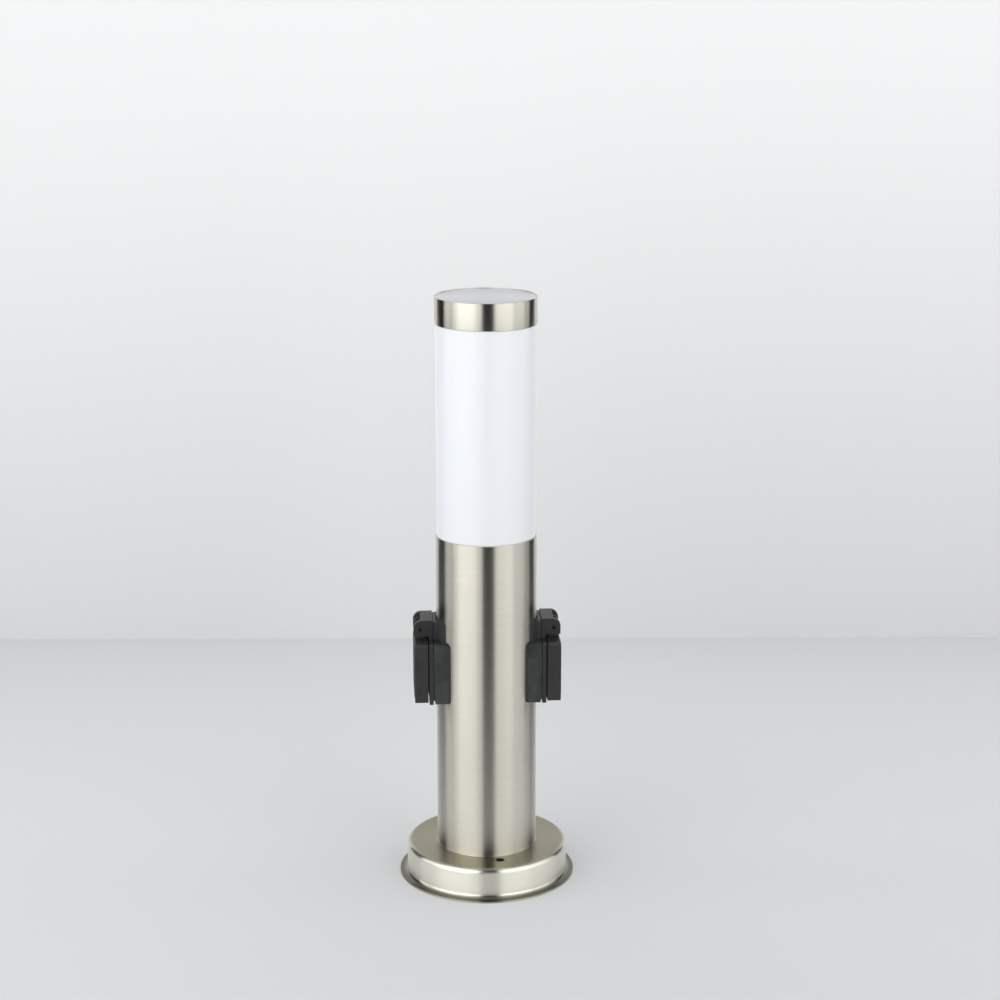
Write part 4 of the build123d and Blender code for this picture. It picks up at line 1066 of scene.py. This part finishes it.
@dataclass(frozen=True)
class Panel:
    """Rectangular light above the post.

    Args:
        name: The light's name.
        size: Width and height, in metres.
        power: In watts.
        place: Its middle, in metres.
        aim: The way it shines.
        mirrored: Whether the steel mirrors it.
    """

    name: str
    size: tuple[float, float]
    power: float
    place: tuple[float, float, float]
    aim: tuple[float, float, float]
    mirrored: bool = True


PANELS = (
    Panel("top_light", (1.2, 1.0), 3.0, (0.0, 0.1, 1.7), (0.0, 0.0, -1.0)),
    Panel("wall_wash", (2.4, 0.4), 3.6, (0.0, 0.16, 0.80), (0.0, 0.75, -1.0), mirrored=False),
)


@dataclass
class Studio:
    """Floor, back wall, soft boxes and camera.

    Args:
        wall_distance: From the post's axis back to the wall, in metres.
        room_width: Width of the floor and the wall.
        room_depth: From the wall to the floor's near edge.
        wall_height: Height of the wall.
        wall_middle: Width of the part of the wall that the steel mirrors.
        floor_edge: Near edge of the part of the floor that the steel mirrors.
        floor_middle: Width of that part.
        floor_tone: Colour of the floor.
        wall_tone: Colour of the wall.
        room_tone: Colour of the room behind the camera.
        room_strength: Strength of its light.
        camera_distance: From the post's axis to the camera, level, in metres.
        camera_height: Above the floor, in metres.
        camera_azimuth: Degrees round the post; zero looks along +Y.
        camera_tilt: Degrees below level.
        camera_pan: Degrees to the right of the post's axis.
        lens: Focal length in millimetres.
        sensor: Width of the sensor in millimetres.
        nearest: Nearest place that the camera sees, in metres.
    """

    wall_distance: float = 0.576
    room_width: float = 6.0
    room_depth: float = 6.0
    wall_height: float = 3.0
    wall_middle: float = 1.15
    floor_edge: float = -0.26
    floor_middle: float = 0.8
    floor_tone: Colour = (0.585, 0.597, 0.608)
    wall_tone: Colour = (0.588, 0.590, 0.592)
    room_tone: Colour = (0.80, 0.81, 0.83)
    room_strength: float = 0.25
    camera_distance: float = 1.5858
    camera_height: float = 0.7033
    camera_azimuth: float = -3.0
    camera_tilt: float = 14.41
    camera_pan: float = 0.375
    lens: float = 78.81
    sensor: float = 36.0
    nearest: float = 10.0 * MM

    def build(self) -> None:
        """Make everything in the studio."""
        bpy.context.scene.view_settings.view_transform = "Standard"
        self.camera()
        self.floor()
        self.wall()
        self.room()
        self.lights()

    def camera(self) -> None:
        """Place the camera and make it the scene's."""
        data = bpy.data.cameras.new("camera")
        data.lens = self.lens
        data.sensor_width = self.sensor
        data.clip_start = self.nearest
        seat = bpy.data.objects.new("camera", data)
        azimuth = math.radians(self.camera_azimuth)
        seat.location = (
            self.camera_distance * math.sin(azimuth),
            -self.camera_distance * math.cos(azimuth),
            self.camera_height,
        )
        heading = azimuth - math.radians(self.camera_pan)
        seat.rotation_euler = (math.radians(90.0 - self.camera_tilt), 0.0, heading)
        bpy.context.scene.collection.objects.link(seat)
        bpy.context.scene.camera = seat

    def floor(self) -> None:
        """Floor in four sheets, of which the steel mirrors the one round the post."""
        far, near = self.wall_distance, self.wall_distance - self.room_depth
        edge, half, reach = self.floor_edge, self.floor_middle / 2, self.room_width / 2
        for name, x_span, y_span in (
            ("floor", (-half, half), (edge, far)),
            ("floor_left", (-reach, -half), (edge, far)),
            ("floor_right", (half, reach), (edge, far)),
            ("floor_front", (-reach, reach), (near, edge)),
        ):
            middle = Vector((sum(x_span) / 2, sum(y_span) / 2, 0.0))
            size = (x_span[1] - x_span[0], y_span[1] - y_span[0])
            floor = self.sheet(name, middle, size, 0.0)
            self.paint(floor, self.floor_tone)
            floor.visible_glossy = name == "floor"

    def wall(self) -> None:
        """Wall in three sheets, of which the steel mirrors the middle one."""
        side = (self.room_width - self.wall_middle) / 2
        offset = (self.wall_middle + side) / 2
        for name, x, width in (
            ("wall", 0.0, self.wall_middle),
            ("wall_left", -offset, side),
            ("wall_right", offset, side),
        ):
            middle = Vector((x, self.wall_distance, self.wall_height / 2))
            wall = self.sheet(name, middle, (width, self.wall_height), 90.0)
            self.paint(wall, self.wall_tone)
            wall.visible_glossy = name == "wall"

    def room(self) -> None:
        """Tone of the room, which the steel doesn't mirror."""
        world = bpy.data.worlds.new("room")
        world.use_nodes = True
        background = world.node_tree.nodes["Background"]
        background.inputs["Color"].default_value = (*self.room_tone, 1.0)
        background.inputs["Strength"].default_value = self.room_strength
        world.cycles_visibility.glossy = False
        bpy.context.scene.world = world

    def sheet(self, name: str, middle: Vector, size: tuple[float, float],
              tilt: float) -> bpy.types.Object:
        """Flat rectangle turned with the camera round the post's axis.

        Args:
            name: The sheet's name.
            middle: Its middle, before the turn.
            size: Width and height, in metres.
            tilt: Degrees up from lying flat.

        Returns:
            The sheet.
        """
        half_x, half_y = size[0] / 2, size[1] / 2
        corners = [(-half_x, -half_y, 0), (half_x, -half_y, 0), (half_x, half_y, 0),
                   (-half_x, half_y, 0)]
        mesh = bpy.data.meshes.new(name)
        mesh.from_pydata(corners, [], [(0, 1, 2, 3)])
        sheet = bpy.data.objects.new(name, mesh)
        turn = math.radians(self.camera_azimuth)
        sheet.location = Matrix.Rotation(turn, 3, "Z") @ middle
        sheet.rotation_euler = (math.radians(tilt), 0.0, turn)
        bpy.context.scene.collection.objects.link(sheet)
        return sheet

    def paint(self, sheet: bpy.types.Object, colour: Colour) -> None:
        """Give a sheet a matt paint that doesn't show from behind.

        Args:
            sheet: The sheet.
            colour: Colour of the paint.
        """
        made = bpy.data.materials.new(sheet.name + "_paint")
        made.use_nodes = True
        made.node_tree.nodes.clear()
        graph = Graph(made.node_tree)
        front = graph.node("BsdfDiffuse", None, Color=colour)
        back = graph.node("BsdfTransparent")
        side = graph.node("NewGeometry")
        mixed = graph.node("MixShader", None, i0=side.outputs["Backfacing"],
                           i1=front.outputs[0], i2=back.outputs[0])
        output = graph.node("OutputMaterial")
        graph.tree.links.new(mixed.outputs[0], output.inputs["Surface"])
        sheet.data.materials.append(made)

    def lights(self) -> None:
        """Soft boxes on each side, a light above, and one that washes down the wall."""
        for box in SOFT_BOXES:
            self.soft_box(box)
        for panel in PANELS:
            light = self.lamp(panel.name, panel.size, panel.power, Vector(panel.place),
                              Vector(panel.aim))
            light.visible_glossy = panel.mirrored

    def lamp(self, name: str, size: tuple[float, float], power: float, place: Vector,
             aim: Vector) -> bpy.types.Object:
        """Rectangular light that itself stays out of the picture.

        Args:
            name: The light's name.
            size: Width and height, in metres.
            power: In watts.
            place: Its middle.
            aim: The way it shines.

        Returns:
            The light's object.
        """
        light = bpy.data.lights.new(name, "AREA")
        light.shape = "RECTANGLE"
        light.size, light.size_y = size
        light.energy = power
        lamp = bpy.data.objects.new(name, light)
        lamp.location = place
        lamp.rotation_euler = aim.to_track_quat("-Z", "Y").to_euler()
        lamp.visible_camera = False
        bpy.context.scene.collection.objects.link(lamp)
        return lamp

    def soft_box(self, box: SoftBox) -> None:
        """Stand one soft box between its two azimuths, facing the post.

        Args:
            box: The soft box.
        """
        ends = []
        for degrees in box.azimuths:
            angle = math.radians(degrees + self.camera_azimuth)
            ends.append(Vector((math.sin(angle), -math.cos(angle), 0.0)) * box.radius)
        middle = (ends[0] + ends[1]) / 2
        size = ((ends[0] - ends[1]).length, box.height)
        place = middle + Vector((0.0, 0.0, box.middle_height))
        self.lamp(box.name, size, box.power, place, -middle)


def main() -> None:
    """Build the studio, then every sub-assembly in turn."""
    logging.basicConfig(level=logging.INFO, format="%(name)s: %(message)s")
    Studio().build()
    for assembly in (Foot(), Post(), Head(), Lamp(), Outlet(Side.RIGHT), Outlet(Side.LEFT)):
        LOG.info("building %s", type(assembly).__name__)
        assembly.build()


if __name__ == "__main__":
    main()
